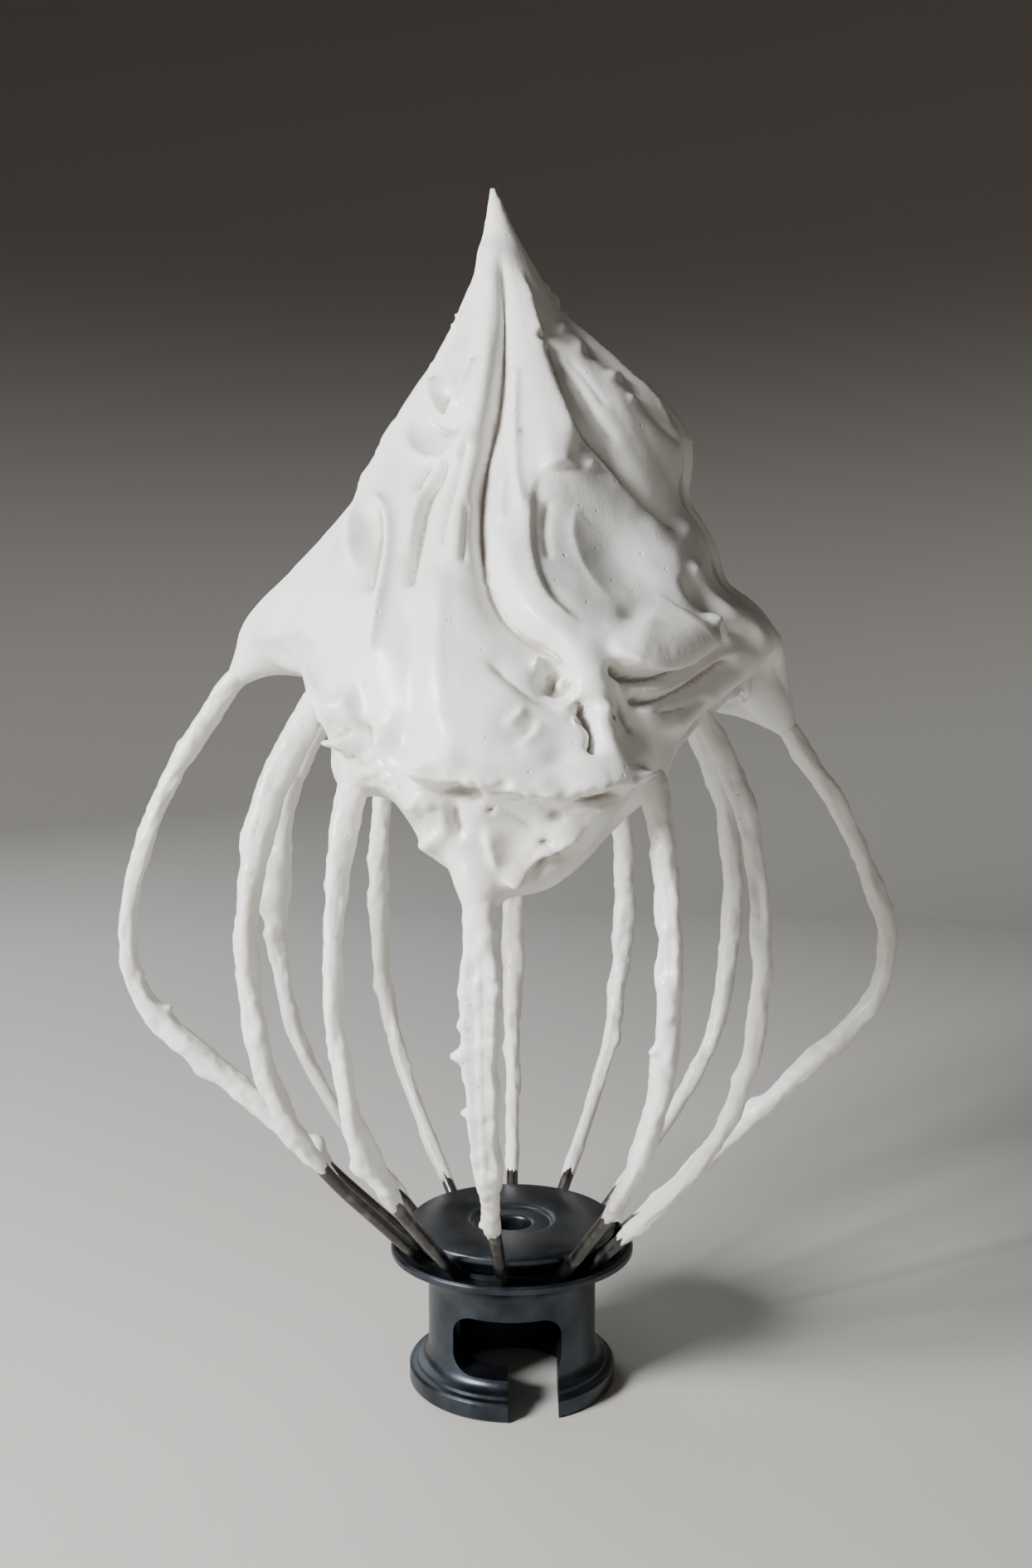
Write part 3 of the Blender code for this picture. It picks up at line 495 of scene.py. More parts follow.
def drawn_steel_wire(colours):
    """Drawn steel wire: dull dark metal with faint die lines and a film of dried egg white."""
    material, tree, output = new_material("drawn_steel_wire")
    place = add_node(tree, "ShaderNodeTexCoord").outputs["Object"]
    film = add_node(tree, "ShaderNodeTexNoise", {"Scale": 1 / (2.2 * MM), "Detail": 4.0},
                    {"Vector": place})
    colour = colour_ramp(tree, film.outputs["Fac"],
                         ((0.5, linear(colours.wire)), (0.78, linear("8E8A84"))))
    dullness = add_node(tree, "ShaderNodeMapRange", {"From Min": 0.4, "From Max": 0.75,
                                                     "To Min": 0.28, "To Max": 0.55},
                        {"Value": film.outputs["Fac"]})
    fine = add_node(tree, "ShaderNodeTexNoise", {"Scale": 1 / (0.4 * MM), "Detail": 2.0},
                    {"Vector": place})
    drawn = add_node(tree, "ShaderNodeBump", {"Strength": 0.2, "Distance": 0.02 * MM},
                     {"Height": fine.outputs["Fac"]})
    shader = add_node(tree, "ShaderNodeBsdfPrincipled", {"Metallic": 1.0},
                      {"Base Color": colour.outputs["Color"], "Roughness": dullness.outputs[0],
                       "Normal": drawn.outputs["Normal"]})
    tree.links.new(shader.outputs["BSDF"], output.inputs["Surface"])
    return material


def studio_paper(colours):
    """Matt paper, swept up all round the stage: pale on the floor and graded to a warm grey above."""
    material, tree, output = new_material("studio_paper")
    place = add_node(tree, "ShaderNodeTexCoord").outputs["Object"]
    tooth = add_node(tree, "ShaderNodeTexNoise", {"Scale": 1 / (1.2 * MM), "Detail": 2.0},
                     {"Vector": place})
    bump = add_node(tree, "ShaderNodeBump", {"Strength": 0.1, "Distance": 0.05 * MM},
                    {"Height": tooth.outputs["Fac"]})
    height = add_node(tree, "ShaderNodeSeparateXYZ", links={"Vector": place})
    rise = add_node(tree, "ShaderNodeMapRange", {"From Min": 0.0, "From Max": 450 * MM},
                    {"Value": height.outputs["Z"]}, interpolation_type="SMOOTHSTEP")
    colour = colour_ramp(tree, rise.outputs[0],
                         ((0.0, linear(colours.floor)), (1.0, linear(colours.backdrop))))
    shader = add_node(tree, "ShaderNodeBsdfPrincipled", {"Roughness": 0.8},
                      {"Base Color": colour.outputs["Color"], "Normal": bump.outputs["Normal"]})
    tree.links.new(shader.outputs["BSDF"], output.inputs["Surface"])
    return material


def material_named(name):
    """Return one of the whisk's materials, made the first time it is asked for."""
    makers = {"whipped_egg_white": whipped_egg_white, "drawn_steel_wire": drawn_steel_wire,
              "burnished_cast_aluminium": burnished_cast_aluminium, "studio_paper": studio_paper}
    return bpy.data.materials.get(name) or makers[name](bpy.context.scene.whisk_colours)


def deselect_all():
    """Leave nothing selected."""
    for item in bpy.context.selected_objects:
        item.select_set(False)


def pick(item):
    """Select one object alone and make it the active one."""
    deselect_all()
    item.select_set(True)
    bpy.context.view_layer.objects.active = item
    return item


def apply_modifier(item, kind, **settings):
    """Add a modifier with its settings and apply it."""
    pick(item)
    modifier = item.modifiers.new(kind.title(), kind)
    for name, setting in settings.items():
        setattr(modifier, name, setting)
    bpy.ops.object.modifier_apply(modifier=modifier.name)


def finish_piece(piece, name, material, replaced=None, sharp_angle=None):
    """Name a piece, give it its finish, and let it ride on the whisk."""
    pick(piece)
    bpy.ops.object.transform_apply(location=True, rotation=True, scale=True)
    if sharp_angle:
        bpy.ops.object.shade_smooth_by_angle(angle=math.radians(sharp_angle))
    else:
        bpy.ops.object.shade_smooth()
    piece.name = piece.data.name = name
    piece.data.materials.clear()
    piece.data.materials.append(material_named(material))
    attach(piece, "root")
    if replaced:
        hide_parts(replaced)


def ease(share):
    """Ease from 0 to 1, on numbers or arrays."""
    share = np.clip(share, 0, 1)
    return share * share * (3 - 2 * share)


def smooth_curve(points, step):
    """Return evenly spaced points on a smooth curve through the given ones."""
    places = np.asarray(points, float)
    gaps = np.linalg.norm(np.diff(places, axis=0), axis=1)
    marks = np.concatenate([[0], np.cumsum(np.sqrt(gaps))])
    slopes = np.gradient(places, marks, axis=0)
    fine = np.linspace(0, marks[-1], max(8, int(4 * gaps.sum() / step)))
    index = np.clip(np.searchsorted(marks, fine, side="right") - 1, 0, len(marks) - 2)
    span = (marks[index + 1] - marks[index])[:, None]
    t = (fine - marks[index])[:, None] / span
    curve = (places[index] * (2 * t ** 3 - 3 * t ** 2 + 1) + slopes[index] * span * (t ** 3 - 2 * t ** 2 + t)
             + places[index + 1] * (3 * t ** 2 - 2 * t ** 3) + slopes[index + 1] * span * (t ** 3 - t ** 2))
    lengths = np.concatenate([[0], np.cumsum(np.linalg.norm(np.diff(curve, axis=0), axis=1))])
    evenly = np.linspace(0, lengths[-1], max(3, int(lengths[-1] / step) + 1))
    return np.column_stack([np.interp(evenly, lengths, axis) for axis in curve.T])


def wander(lengths, seed):
    """Return a wavering value between about -1 and 1 at each length in mm, the same for a seed."""
    rng = np.random.default_rng(seed)
    phases = rng.uniform(0, 2 * math.pi, 4)
    waves = (5.3, 3.1, 1.9, 1.2)
    total = sum(np.sin(2 * math.pi * lengths / wave + phase) * wave ** 0.5
                for wave, phase in zip(waves, phases))
    return total / sum(wave ** 0.5 for wave in waves)


def foam_noise(places, size, seed):
    """Return smooth noise at each place, with lumps of about the given size in mm."""
    offset = Vector((seed * 7.31, seed * 3.17, seed * 5.53))
    return np.array([noise.noise(Vector(place) / size + offset) for place in places.tolist()])


def stroke_profile(places, fold, seed, ragged=0.0):
    """Return how far a fold's stroke lifts each place of its plane, in mm."""
    height, left, right, sharpness, points = fold[1:]
    curve = smooth_curve(points, 0.25)
    along = np.gradient(curve, axis=0)
    along /= np.linalg.norm(along, axis=1)[:, None]
    lengths = np.arange(len(curve)) * np.linalg.norm(curve[1] - curve[0])
    reach = 3.2 * max(left, right)
    lift = np.zeros(len(places))
    near = np.where(np.all((places > curve.min(0) - reach) & (places < curve.max(0) + reach), axis=1))[0]
    for chunk in np.array_split(near, max(1, len(near) // 4000)):
        offsets = places[chunk][:, None, :] - curve[None, :, :]
        nearest = np.argmin((offsets ** 2).sum(2), axis=1)
        offset = offsets[np.arange(len(chunk)), nearest]
        run = along[nearest]
        length = lengths[nearest] + (offset * run).sum(1)
        aside = run[:, 0] * offset[:, 1] - run[:, 1] * offset[:, 0]
        aside += ragged * wander(length, seed + 1) * np.exp(-np.abs(aside) / 0.8)
        beside = np.exp(-np.abs(aside))
        width = np.where(aside > 0, left, right) * (1 + 0.1 * beside * wander(length / 3, seed + 2))
        taper_run = min(0.4 * lengths[-1], float(np.clip(2.5 * max(left, right), 1.5, 5)))
        taper = ease(length / taper_run) * ease((lengths[-1] - length) / taper_run)
        taper *= 1 + 0.06 * beside * wander(length / 4, seed)
        lift[chunk] = height * taper * np.exp(-(np.abs(aside) / width) ** sharpness)
    return lift


def dab_profile(places, dab):
    """Return how far a dent or a lump lifts each place of its plane, in mm."""
    height, half_width, half_height, centre = dab[1:]
    across = (places - centre) / (half_width, half_height)
    return height * np.exp(-(across ** 2).sum(1))


def smoothed(piece, rounds):
    """Return a mesh's places in mm after rounds of smoothing."""
    places, _ = read_mesh(piece)
    edges = np.empty(len(piece.data.edges) * 2, int)
    piece.data.edges.foreach_get("vertices", edges)
    a, b = edges.reshape(-1, 2).T
    neighbours = np.bincount(np.concatenate([a, b]), minlength=len(places))[:, None]
    smooth = places
    for _ in range(rounds):
        total = np.column_stack([np.bincount(a, smooth[b, i], len(places))
                                 + np.bincount(b, smooth[a, i], len(places)) for i in range(3)])
        smooth = 0.5 * smooth + 0.5 * total / neighbours
    return smooth


def hollowness(piece, rounds, depth):
    """Return from 0 to 1 how deep each place lies in a fold, a depth in mm counting as 1."""
    places, normals = read_mesh(piece)
    return np.clip(((smoothed(piece, rounds) - places) * normals).sum(1) / depth, 0, 1)


def pulls(places):
    """Return how far each place of the plane is drawn out or pushed, as vectors in mm."""
    moves = np.zeros((len(places), 3))
    for _, half_width, half_height, centre, pull in FRONT_PULLS:
        across = (places - centre) / (half_width, half_height)
        moves += np.exp(-(across ** 2).sum(1))[:, None] * pull
    return moves


def read_mesh(piece):
    """Return a mesh's places in mm and its normals, as arrays."""
    mesh = piece.data
    places = np.empty(len(mesh.vertices) * 3)
    normals = np.empty(len(mesh.vertices) * 3)
    mesh.vertices.foreach_get("co", places)
    mesh.vertices.foreach_get("normal", normals)
    return places.reshape(-1, 3) / MM, normals.reshape(-1, 3)


def write_mesh(piece, places):
    """Write places in mm back to a mesh."""
    piece.data.vertices.foreach_set("co", (places * MM).ravel())
    piece.data.update()


def seen_from_front(places, normals):
    """Return each place's spot on the upright plane through the axis, and how much it faces the front."""
    eye = np.array(EYE)
    sight = eye - places
    sight /= np.linalg.norm(sight, axis=1)[:, None]
    facing = ease(((normals * sight).sum(1) - 0.02) / 0.28)
    share = eye[1] / (eye[1] - places[:, 1])
    plane = eye[[0, 2]] + (places[:, [0, 2]] - eye[[0, 2]]) * share[:, None]
    return plane, facing


def around_the_back(places):
    """Return each place's spot on a drum unrolled around the axis, its middle at the back."""
    lean = np.array([np.interp(places[:, 2], (140, PEAK), (0, -2.7)), np.zeros(len(places))]).T
    flat = places[:, :2] - lean
    return np.column_stack([np.arctan2(-flat[:, 0], flat[:, 1]) * DRUM_RADIUS, places[:, 2]])


def back_folds(seed):
    """Return the folds that run down the sides and the back, fanned out from the peak."""
    rng = np.random.default_rng(seed)
    folds = []
    for angle in np.arange(-104, 105, 13):
        top = rng.uniform(136, 152)
        foot = rng.uniform(96, 120)
        start = math.radians(angle + rng.uniform(-5, 5)) * DRUM_RADIUS
        swing = rng.uniform(-9, 9)
        points = ((start, top), (start + 0.25 * swing, (2 * top + foot) / 3),
                  (start + 0.8 * swing, (top + 2 * foot) / 3), (start + 1.6 * swing, foot))
        narrow, wide = rng.uniform(0.6, 1.1), rng.uniform(2.5, 5.5)
        sides = (narrow, wide) if rng.random() < 0.5 else (wide, narrow)
        height = rng.choice((-1.3, -0.9, 1.0, 1.3, 1.5)) * rng.uniform(0.7, 1.0)
        folds.append(("fold", height, *sides, rng.uniform(1.2, 1.6), points))
    return folds


def join_leg_roots(piece):
    """Join to the meringue the thick root that each coated leg grows out of."""
    roots = []
    for number, azimuth in enumerate(LEG_AZIMUTHS, 1):
        line = leg_line(azimuth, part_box(f"wire_{number:02d}")[1].z / MM + 4)
        lengths = np.arange(len(line)) * np.linalg.norm(line[1] - line[0])
        entry = lengths[np.argmin(np.abs(line[:, 2] - (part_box(f"wire_{number:02d}")[1].z / MM - SOCKET_DEPTH)))]
        below = ROOT_LENGTHS[number - 1]
        part = (lengths > entry - below) & (lengths < entry + 9)
        share = (lengths[part] - entry + below) / (below + 9)
        widen = ease(1.5 * share) * (1 - 0.6 * ease((share - 0.55) / 0.45))
        thickness = 1.05 + (ROOT_RADII[number - 1] - 1.05) * widen
        roots.append(tube("root", line[part][::2], thickness[::2] * MM))
    pick(piece)
    for root in roots:
        root.select_set(True)
    bpy.ops.object.join()


def join_hem(piece):
    """Join to the meringue the roll of foam that hangs along its lower edge."""
    corners, _ = read_mesh(piece)
    corners = corners[(np.hypot(corners[:, 0], corners[:, 1]) > 27) & (corners[:, 2] < 110)]
    azimuths = np.degrees(np.arctan2(corners[:, 0], -corners[:, 1]))
    line, radii = [], []
    for azimuth in range(-180, 180, 6):
        near = corners[np.abs((azimuths - azimuth + 180) % 360 - 180) < 4]
        lowest = near[np.argmin(near[:, 2])]
        azimuths_set, drops, thicknesses = np.transpose(HEM_ROLL)
        drop = np.interp(azimuth, azimuths_set, drops)
        radii.append(np.interp(azimuth, azimuths_set, thicknesses))
        radius = np.hypot(lowest[0], lowest[1]) + 0.5
        angle = math.radians(azimuth)
        line.append((radius * math.sin(angle), -radius * math.cos(angle), lowest[2] + 1.2 - drop))
    line = np.column_stack([line + line[:1], radii + radii[:1]])
    line = smooth_curve(line, 0.8)
    hem = tube("hem", line[:, :3], line[:, 3] * MM)
    pick(piece)
    hem.select_set(True)
    bpy.ops.object.join()


def divide_front(piece):
    """Halve the cells of the front, where the folds are finest."""
    places, normals = read_mesh(piece)
    _, facing = seen_from_front(places, normals)
    pick(piece)
    for polygon in piece.data.polygons:
        polygon.select = bool(facing[list(polygon.vertices)].min() > 0.3)
    bpy.ops.object.mode_set(mode="EDIT")
    bpy.ops.mesh.select_mode(type="FACE")
    bpy.ops.mesh.subdivide(number_cuts=1, smoothness=1.0, quadcorner="INNERVERT")
    bpy.ops.object.mode_set(mode="OBJECT")


def tube(name, line, radii, bevel_resolution=4):
    """Make a closed round tube along a line in mm, its radii in metres, and return it as a mesh."""
    deselect_all()
    bpy.ops.curve.primitive_nurbs_path_add()
    item = bpy.context.object
    curve = item.data
    curve.splines.clear()
    spline = curve.splines.new("POLY")
    spline.points.add(len(line) - 1)
    largest = float(np.max(radii))
    spline.points.foreach_set("co", np.column_stack([line * MM, np.ones(len(line))]).ravel())
    spline.points.foreach_set("radius", np.broadcast_to(radii, len(line)) / largest)
    curve.dimensions = "3D"
    curve.bevel_depth = largest
    curve.bevel_resolution = bevel_resolution
    curve.use_fill_caps = True
    pick(item)
    bpy.ops.object.convert(target="MESH")
    item = bpy.context.object
    item.location = (0, 0, 0)
    item.name = name
    bpy.ops.object.mode_set(mode="EDIT")
    bpy.ops.mesh.select_all(action="SELECT")
    bpy.ops.mesh.remove_doubles(threshold=1e-6)
    bpy.ops.mesh.normals_make_consistent(inside=False)
    bpy.ops.object.mode_set(mode="OBJECT")
    return item


def leg_line(azimuth, highest, lowest=None):
    """Return a leg's centre line in mm, from the hub up to a height."""
    outline = WIDE_LEGS.get(azimuth, NARROW_LEG)
    curve = smooth_curve(outline, 0.33)
    curve = curve[curve[:, 1] < highest]
    angle = math.radians(azimuth)
    return np.column_stack([curve[:, 0] * math.sin(angle), -curve[:, 0] * math.cos(angle), curve[:, 1]])


def sharpen_peak(places):
    """Draw the top of the meringue out to its full height."""
    top = places[:, 2].max()
    pull = ease((places[:, 2] - (top - 5)) / 5)
    places[:, 2] += (PEAK - top) * pull
    return places


class WHISK_OT_meringue(bpy.types.Operator):
    """Whip the meringue's folds out of its plain solid"""

    bl_idname = "whisk.meringue"
    bl_label = "Meringue"

    def execute(self, context):
        sizes = context.scene.whisk_sizes
        deselect_all()
        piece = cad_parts["meringue"].copy()
        piece.data = piece.data.copy()
        piece.parent = None
        for key in list(piece.keys()):
            del piece[key]
        context.scene.collection.objects.link(piece)
        pick(piece)
        bpy.ops.object.mode_set(mode="EDIT")
        bpy.ops.mesh.select_all(action="SELECT")
        bpy.ops.mesh.remove_doubles(threshold=1e-6)
        bpy.ops.object.mode_set(mode="OBJECT")
        join_hem(piece)
        join_leg_roots(piece)
        apply_modifier(piece, "REMESH", mode="VOXEL", voxel_size=sizes.foam_cell)
        places, _ = read_mesh(piece)
        below_tip = ease((152 - places[:, 2]) / 12)
        write_mesh(piece, places + (smoothed(piece, 26) - places) * below_tip[:, None])
        apply_modifier(piece, "SMOOTH", factor=0.5, iterations=4)
        divide_front(piece)

        places, normals = read_mesh(piece)
        plane, facing = seen_from_front(places, normals)
        drum = around_the_back(places)
        calm_tip = ease((PEAK - places[:, 2]) / 17)
        front = sum(stroke_profile(plane, fold, seed, 0.35 if fold[0] in RAGGED else 0.0)
                    for seed, fold in enumerate(FRONT_FOLDS, sizes.seed))
        front += sum(dab_profile(plane, dab) for dab in FRONT_DABS)
        back = sum(stroke_profile(drum, fold, seed)
                   for seed, fold in enumerate(back_folds(sizes.seed), sizes.seed))
        lift = calm_tip * (front * facing + back * (1 - facing) * ease((places[:, 2] - 92) / 8))
        moves = pulls(plane) * (calm_tip * ease(1 - places[:, 1] / 25))[:, None]
        write_mesh(piece, places + normals * lift[:, None] + moves)
        apply_modifier(piece, "SMOOTH", factor=0.3, iterations=1)

        places, normals = read_mesh(piece)
        torn = sum(stroke_profile(plane, fold, seed) for seed, fold in enumerate(TORN)) * facing
        fan = np.column_stack([np.arctan2(plane[:, 0] + 3, 164 - plane[:, 1]) * 30,
                               np.hypot(plane[:, 0] + 3, 164 - plane[:, 1]) / 14,
                               np.zeros(len(plane))])
        lift = (0.24 * foam_noise(places, 6, 1) + 0.08 * foam_noise(places, 2.6, 2)
                + 0.05 * foam_noise(fan, 1.0, 3) * facing
                + torn * (0.7 * np.abs(foam_noise(places, 1.9, 4)) + 0.35 * foam_noise(places, 1.1, 5) - 0.2))
        calm_tip = ease((PEAK - places[:, 2]) / 14)
        write_mesh(piece, sharpen_peak(places + normals * (lift * calm_tip)[:, None]))
        # How deep each place lies in a fold, stored for the painted fold shade in the egg white's colour
        fold_shade_depth = np.maximum(hollowness(piece, 10, 0.22), hollowness(piece, 50, 0.8))
        piece.data.attributes.new("hollow", "FLOAT", "POINT").data.foreach_set("value", fold_shade_depth)
        finish_piece(piece, "whipped_meringue", "whipped_egg_white", "meringue")
        return {"FINISHED"}


class WHISK_OT_coats(bpy.types.Operator):
    """Coat each leg with the meringue that clings to it"""

    bl_idname = "whisk.coats"
    bl_label = "Coats on the Legs"

    def execute(self, context):
        for number, azimuth in enumerate(LEG_AZIMUTHS, 1):
            self.coat(number, azimuth, context.scene.whisk_sizes)
        return {"FINISHED"}

    def coat(self, number, azimuth, sizes):
        """Wrap a grid round one leg and swell it to the coat's thickness."""
        end, thickness, lumps, streaks = COATS[number - 1]
        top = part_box(f"wire_{number:02d}")[1].z / MM
        line = leg_line(azimuth, top)
        line = line[line[:, 2] > end - 1.5]
        rings, sides = len(line), 28
        deselect_all()
        bpy.ops.mesh.primitive_grid_add(x_subdivisions=rings - 1, y_subdivisions=sides, size=1)
        piece = bpy.context.object
        grid, _ = read_mesh(piece)
        ring = np.rint((grid[:, 0] * MM + 0.5) * (rings - 1)).astype(int)
        side = np.rint((grid[:, 1] * MM + 0.5) * sides) / sides * 2 * math.pi
        along = np.gradient(line, axis=0)
        along /= np.linalg.norm(along, axis=1)[:, None]
        angle = math.radians(azimuth)
        across = np.array([math.cos(angle), math.sin(angle), 0])
        outwards = np.cross(across, along)
        facing = outwards[ring] * np.cos(side)[:, None] + across * np.sin(side)[:, None]
        height = line[ring, 2]
        lengths = np.arange(rings) * np.linalg.norm(line[1] - line[0])
        length = lengths[ring]
        streaky = np.column_stack([length / 5.0, 1.1 * np.cos(side), 1.1 * np.sin(side)])

        radius = np.interp(height, *np.transpose(thickness)) / 2
        lean = 0.25 * (wander(length / 5, number * 5) * np.cos(side)
                       + wander(length / 5, number * 5 + 1) * np.sin(side))
        radius = radius * (1 + 0.10 * wander(length / 4, number * 5 + 2)) + lean
        radius += 0.32 * foam_noise(streaky, 1.0, number) + 0.14 * foam_noise(streaky, 0.4, number + 20)
        radius = np.maximum(radius, 0.97)
        for lump_height, lump_side, size, half_width in lumps:
            turn = np.angle(np.exp(1j * (side - math.radians(lump_side)))) * 1.6
            radius += size * np.exp(-(((height - lump_height) / half_width) ** 2 + (turn / half_width) ** 2))
        for low, high, streak_side, half_angle in streaks:
            turn = np.degrees(np.angle(np.exp(1j * (side - math.radians(streak_side)))))
            turn += 5 * wander(length, number + 3)
            inside = ease((height - low) / 4) * ease((high - height) / 4)
            inside *= ease(2.1 - np.abs(turn) / half_angle)
            thin = 1.12 + 0.45 * foam_noise(line[ring] + facing, 1.9, number + 30)
            radius += (np.maximum(thin, 0.92) - radius) * ease(1.15 * inside)
        grain = line[ring] + facing * radius[:, None]
        radius += 0.15 * foam_noise(grain, 1.2, number + 40) * ease((radius - 0.9) / 0.3)
        ragged_end = end + 1.6 * foam_noise(np.column_stack([np.cos(side), np.sin(side), side * 0]), 0.7, number)
        radius = 0.62 + (radius - 0.62) * ease((height - ragged_end) / 3.0)
        write_mesh(piece, line[ring] + facing * radius[:, None])
        pick(piece)
        bpy.ops.object.mode_set(mode="EDIT")
        bpy.ops.mesh.select_all(action="SELECT")
        bpy.ops.mesh.remove_doubles(threshold=1e-6)
        bpy.ops.mesh.fill_holes(sides=0)
        bpy.ops.mesh.select_all(action="SELECT")
        bpy.ops.mesh.normals_make_consistent(inside=False)
        bpy.ops.object.mode_set(mode="OBJECT")
        finish_piece(piece, f"coat_{number:02d}", "whipped_egg_white")


class WHISK_OT_wires(bpy.types.Operator):
    """Draw the wire of each leg, from its hole in the hub into the meringue"""

    bl_idname = "whisk.wires"
    bl_label = "Wires"

    def execute(self, context):
        radius = context.scene.whisk_sizes.wire_radius
        for number, azimuth in enumerate(LEG_AZIMUTHS, 1):
            node = f"wire_{number:02d}"
            line = leg_line(azimuth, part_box(node)[1].z / MM)[::4]
            first = line[0] - (line[1] - line[0]) * 1.4
            piece = tube(node, np.vstack([first, line]), radius)
            finish_piece(piece, f"drawn_wire_{number:02d}", "drawn_steel_wire", node, 60)
        return {"FINISHED"}


def turn_profile(name, profile, steps):
    """Spin a closed profile of radius and height in mm round the axis."""
    deselect_all()
    bpy.ops.mesh.primitive_circle_add(vertices=len(profile), radius=1 * MM)
    item = bpy.context.object
    for vert, (radius, height) in zip(item.data.vertices, profile):
        vert.co = (radius * MM, 0, height * MM)
    apply_modifier(item, "SCREW", axis="Z", steps=steps, render_steps=steps, use_merge_vertices=True,
                   merge_threshold=1e-6)
    item.name = name
    bpy.ops.object.mode_set(mode="EDIT")
    bpy.ops.mesh.select_all(action="SELECT")
    bpy.ops.mesh.normals_make_consistent(inside=False)
    bpy.ops.object.mode_set(mode="OBJECT")
    return item


def arc(centre, radius, start, end, steps):
    """Return points on an arc of a turned profile, its angles in degrees."""
    angles = np.radians(np.linspace(start, end, steps + 1))
    return [(centre[0] + radius * math.cos(a), centre[1] + radius * math.sin(a)) for a in angles]


def rounded_block(name, x_range, z_range, depth, corner):
    """Make a cutting block that runs from the axis to the front, its upright corners rounded."""
    deselect_all()
    centre = (sum(x_range) / 2 * MM, -depth / 2 * MM, sum(z_range) / 2 * MM)
    bpy.ops.mesh.primitive_cube_add(size=1, location=centre)
    block = bpy.context.object
    block.name = name
    block.scale = ((x_range[1] - x_range[0]) * MM, depth * MM, (z_range[1] - z_range[0]) * MM)
    bpy.ops.object.transform_apply(location=True, rotation=True, scale=True)
    if corner:
        bpy.ops.object.mode_set(mode="EDIT")
        bpy.ops.mesh.select_mode(type="EDGE")
        bpy.ops.mesh.select_all(action="DESELECT")
        bpy.ops.object.mode_set(mode="OBJECT")
        for edge in block.data.edges:
            a, b = (block.data.vertices[i].co for i in edge.vertices)
            edge.select = abs(a.y - b.y) > depth / 2 * MM
        bpy.ops.object.mode_set(mode="EDIT")
        bpy.ops.mesh.bevel(offset=corner * MM, segments=8, affect="EDGES")
        bpy.ops.object.mode_set(mode="OBJECT")
    return block


class WHISK_OT_hub(bpy.types.Operator):
    """Turn the hub and its cap, and cut the bayonet window and slot"""

    bl_idname = "whisk.hub"
    bl_label = "Hub and Cap"

    def execute(self, context):
        sizes = context.scene.whisk_sizes
        foot, collar, flange = sizes.foot_radius / MM, sizes.collar_radius / MM, sizes.flange_radius / MM
        top, bore = sizes.flange_top / MM, sizes.bore_radius / MM
        profile = [(bore + 0.4, 0), (foot - 0.3, 0), (foot, 0.3), (foot, 2.2), (foot - 0.3, 2.5),
                   (foot - 1.0, 2.6), (foot - 1.1, 3.0)]
        profile += arc((collar + 1.5, 4.6), 1.5, 262, 180, 8)
        profile += arc((collar + 4.4, top - 5.6), 4.4, 180, 98, 10)
        profile += [(flange, top - 0.95), (flange, top - 0.3), (flange - 0.25, top),
                    (flange - 0.6, top - 0.05), (flange - 1.2, top - 1.0), (12.3, top - 1.0),
                    (12.3, top - 0.3), (2.6, top - 0.3), (2.6, 15), (bore, 15), (bore, 0.4)]
        hub = turn_profile("hub", profile, 96)
        window = rounded_block("window_cutter", (-7.8, 6.6), (4.4, 12.2), 20, 2.6)
        slot = rounded_block("slot_cutter", (-0.5, 6.1), (-5, 7), 20, 0)
        for cutter in (window, slot):
            apply_modifier(hub, "BOOLEAN", operation="DIFFERENCE", object=cutter, solver="EXACT")
            bpy.data.objects.remove(cutter)
        apply_modifier(hub, "BEVEL", width=sizes.edge_round, segments=3, limit_method="ANGLE",
                       angle_limit=math.radians(38), use_clamp_overlap=True)
        finish_piece(hub, "cast_hub", "burnished_cast_aluminium", "hub", 30)

        cap_radius, cap_top = sizes.cap_radius / MM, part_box("cap")[1].z / MM
        seat = top + 0.05
        profile = [(cap_radius - 1.7, seat), (cap_radius, cap_top - 1.1), (cap_radius, cap_top - 0.35),
                   (cap_radius - 0.35, cap_top), (6.3, cap_top), (5.7, cap_top - 0.15),
                   (5.4, cap_top - 0.6), (2.9, cap_top - 0.6), (2.6, cap_top - 0.9), (2.6, seat)]
        cap = turn_profile("cap", profile, 96)
        apply_modifier(cap, "BEVEL", width=0.2 * MM, segments=3, limit_method="ANGLE",
                       angle_limit=math.radians(30), use_clamp_overlap=True)
        finish_piece(cap, "cast_cap", "burnished_cast_aluminium", "cap", 30)
        return {"FINISHED"}


def add_light(name, energy, size, place, target, colour):
    """Add a soft square light that shines from a place at a target, both in metres."""
    deselect_all()
    bpy.ops.object.light_add(type="AREA", location=place)
    light = bpy.context.object
    light.name = name
    light.data.energy = energy
    light.data.size = size
    light.data.color = colour
    light.visible_camera = False
    light.rotation_euler = (Vector(target) - Vector(place)).to_track_quat("-Z", "Y").to_euler()


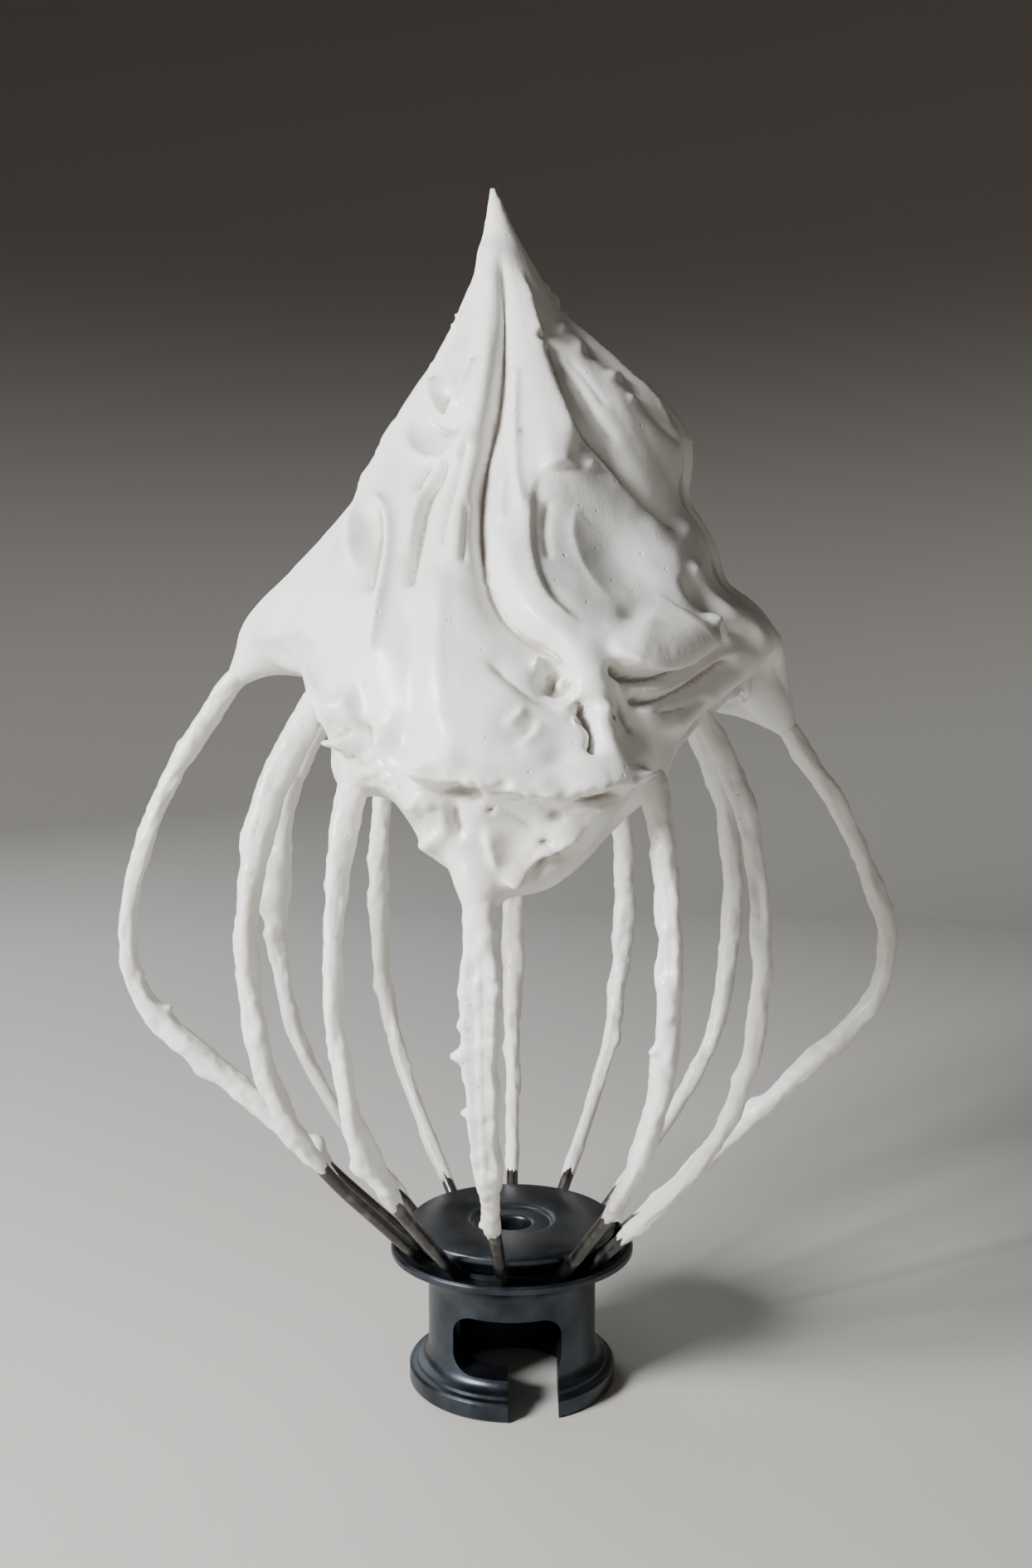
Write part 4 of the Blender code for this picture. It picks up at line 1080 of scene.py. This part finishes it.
class WHISK_OT_stage(bpy.types.Operator):
    """Set up the pale sweep, the soft lights and the camera"""

    bl_idname = "whisk.stage"
    bl_label = "Stage"

    def execute(self, context):
        reach, sweep, rise = 900, 450, 1500
        profile = [(0.01, 0), (reach - sweep, 0)]
        profile += arc((reach - sweep, sweep), sweep, 270, 360, 16) + [(reach, rise)]
        deselect_all()
        bpy.ops.mesh.primitive_circle_add(vertices=3, radius=1 * MM)
        floor = bpy.context.object
        outline = bmesh.new()
        verts = [outline.verts.new((radius * MM, 0, height * MM)) for radius, height in profile]
        for a, b in zip(verts, verts[1:]):
            outline.edges.new((a, b))
        outline.to_mesh(floor.data)
        outline.free()
        apply_modifier(floor, "SCREW", axis="Z", steps=96, render_steps=96, use_merge_vertices=True,
                       merge_threshold=1e-5)
        bpy.ops.object.shade_smooth()
        floor.name = "paper_sweep"
        floor.data.materials.append(material_named("studio_paper"))

        middle = (0, 0, 100 * MM)
        add_light("key", 6.4, 0.17, (-0.38, -0.28, 0.27), middle, (0.97, 0.985, 1.0))
        add_light("fill", 0.12, 0.5, (0.45, -0.35, 0.16), middle, (1.0, 0.93, 0.85))
        add_light("back", 0.7, 0.3, (-0.25, 0.42, 0.30), middle, (0.86, 0.93, 1.0))
        world = bpy.data.worlds.new("soft_room")
        world.use_nodes = True
        world.node_tree.nodes["Background"].inputs["Color"].default_value = linear("9AA0A8")
        world.node_tree.nodes["Background"].inputs["Strength"].default_value = 0.07
        context.scene.world = world

        bpy.ops.object.camera_add(
            location=Vector(EYE) * MM, rotation=(math.radians(90 - EYE_TILT), 0, 0))
        camera = bpy.context.object
        camera.data.sensor_fit = "VERTICAL"
        camera.data.sensor_height = 36
        camera.data.lens = 36 * LENS_SHARE
        camera.data.clip_start = 0.005
        context.scene.camera = camera
        return {"FINISHED"}


OPERATORS = (WHISK_OT_hub, WHISK_OT_wires, WHISK_OT_meringue, WHISK_OT_coats, WHISK_OT_stage)


class WHISK_PT_panel(bpy.types.Panel):
    """Sidebar panel with the whisk's pieces, sizes and colours"""

    bl_idname = "WHISK_PT_panel"
    bl_label = "Meringue Whisk"
    bl_space_type = "VIEW_3D"
    bl_region_type = "UI"
    bl_category = "Whisk"

    def draw(self, context):
        for operator in OPERATORS:
            self.layout.operator(operator.bl_idname)
        for settings in (context.scene.whisk_sizes, context.scene.whisk_colours):
            for name in settings.__annotations__:
                self.layout.prop(settings, name)


CLASSES = (WhiskSizes, WhiskColours, *OPERATORS, WHISK_PT_panel)


def register():
    """Add the classes and the settings that the scene keeps."""
    for item in CLASSES:
        bpy.utils.register_class(item)
    bpy.types.Scene.whisk_sizes = PointerProperty(type=WhiskSizes)
    bpy.types.Scene.whisk_colours = PointerProperty(type=WhiskColours)


def unregister():
    """Remove the settings and the classes."""
    del bpy.types.Scene.whisk_colours
    del bpy.types.Scene.whisk_sizes
    for item in reversed(CLASSES):
        bpy.utils.unregister_class(item)


def main():
    """Make every piece and the stage."""
    register()
    bpy.ops.whisk.hub()
    bpy.ops.whisk.wires()
    bpy.ops.whisk.meringue()
    bpy.ops.whisk.coats()
    bpy.ops.whisk.stage()


if __name__ == "__main__":
    main()
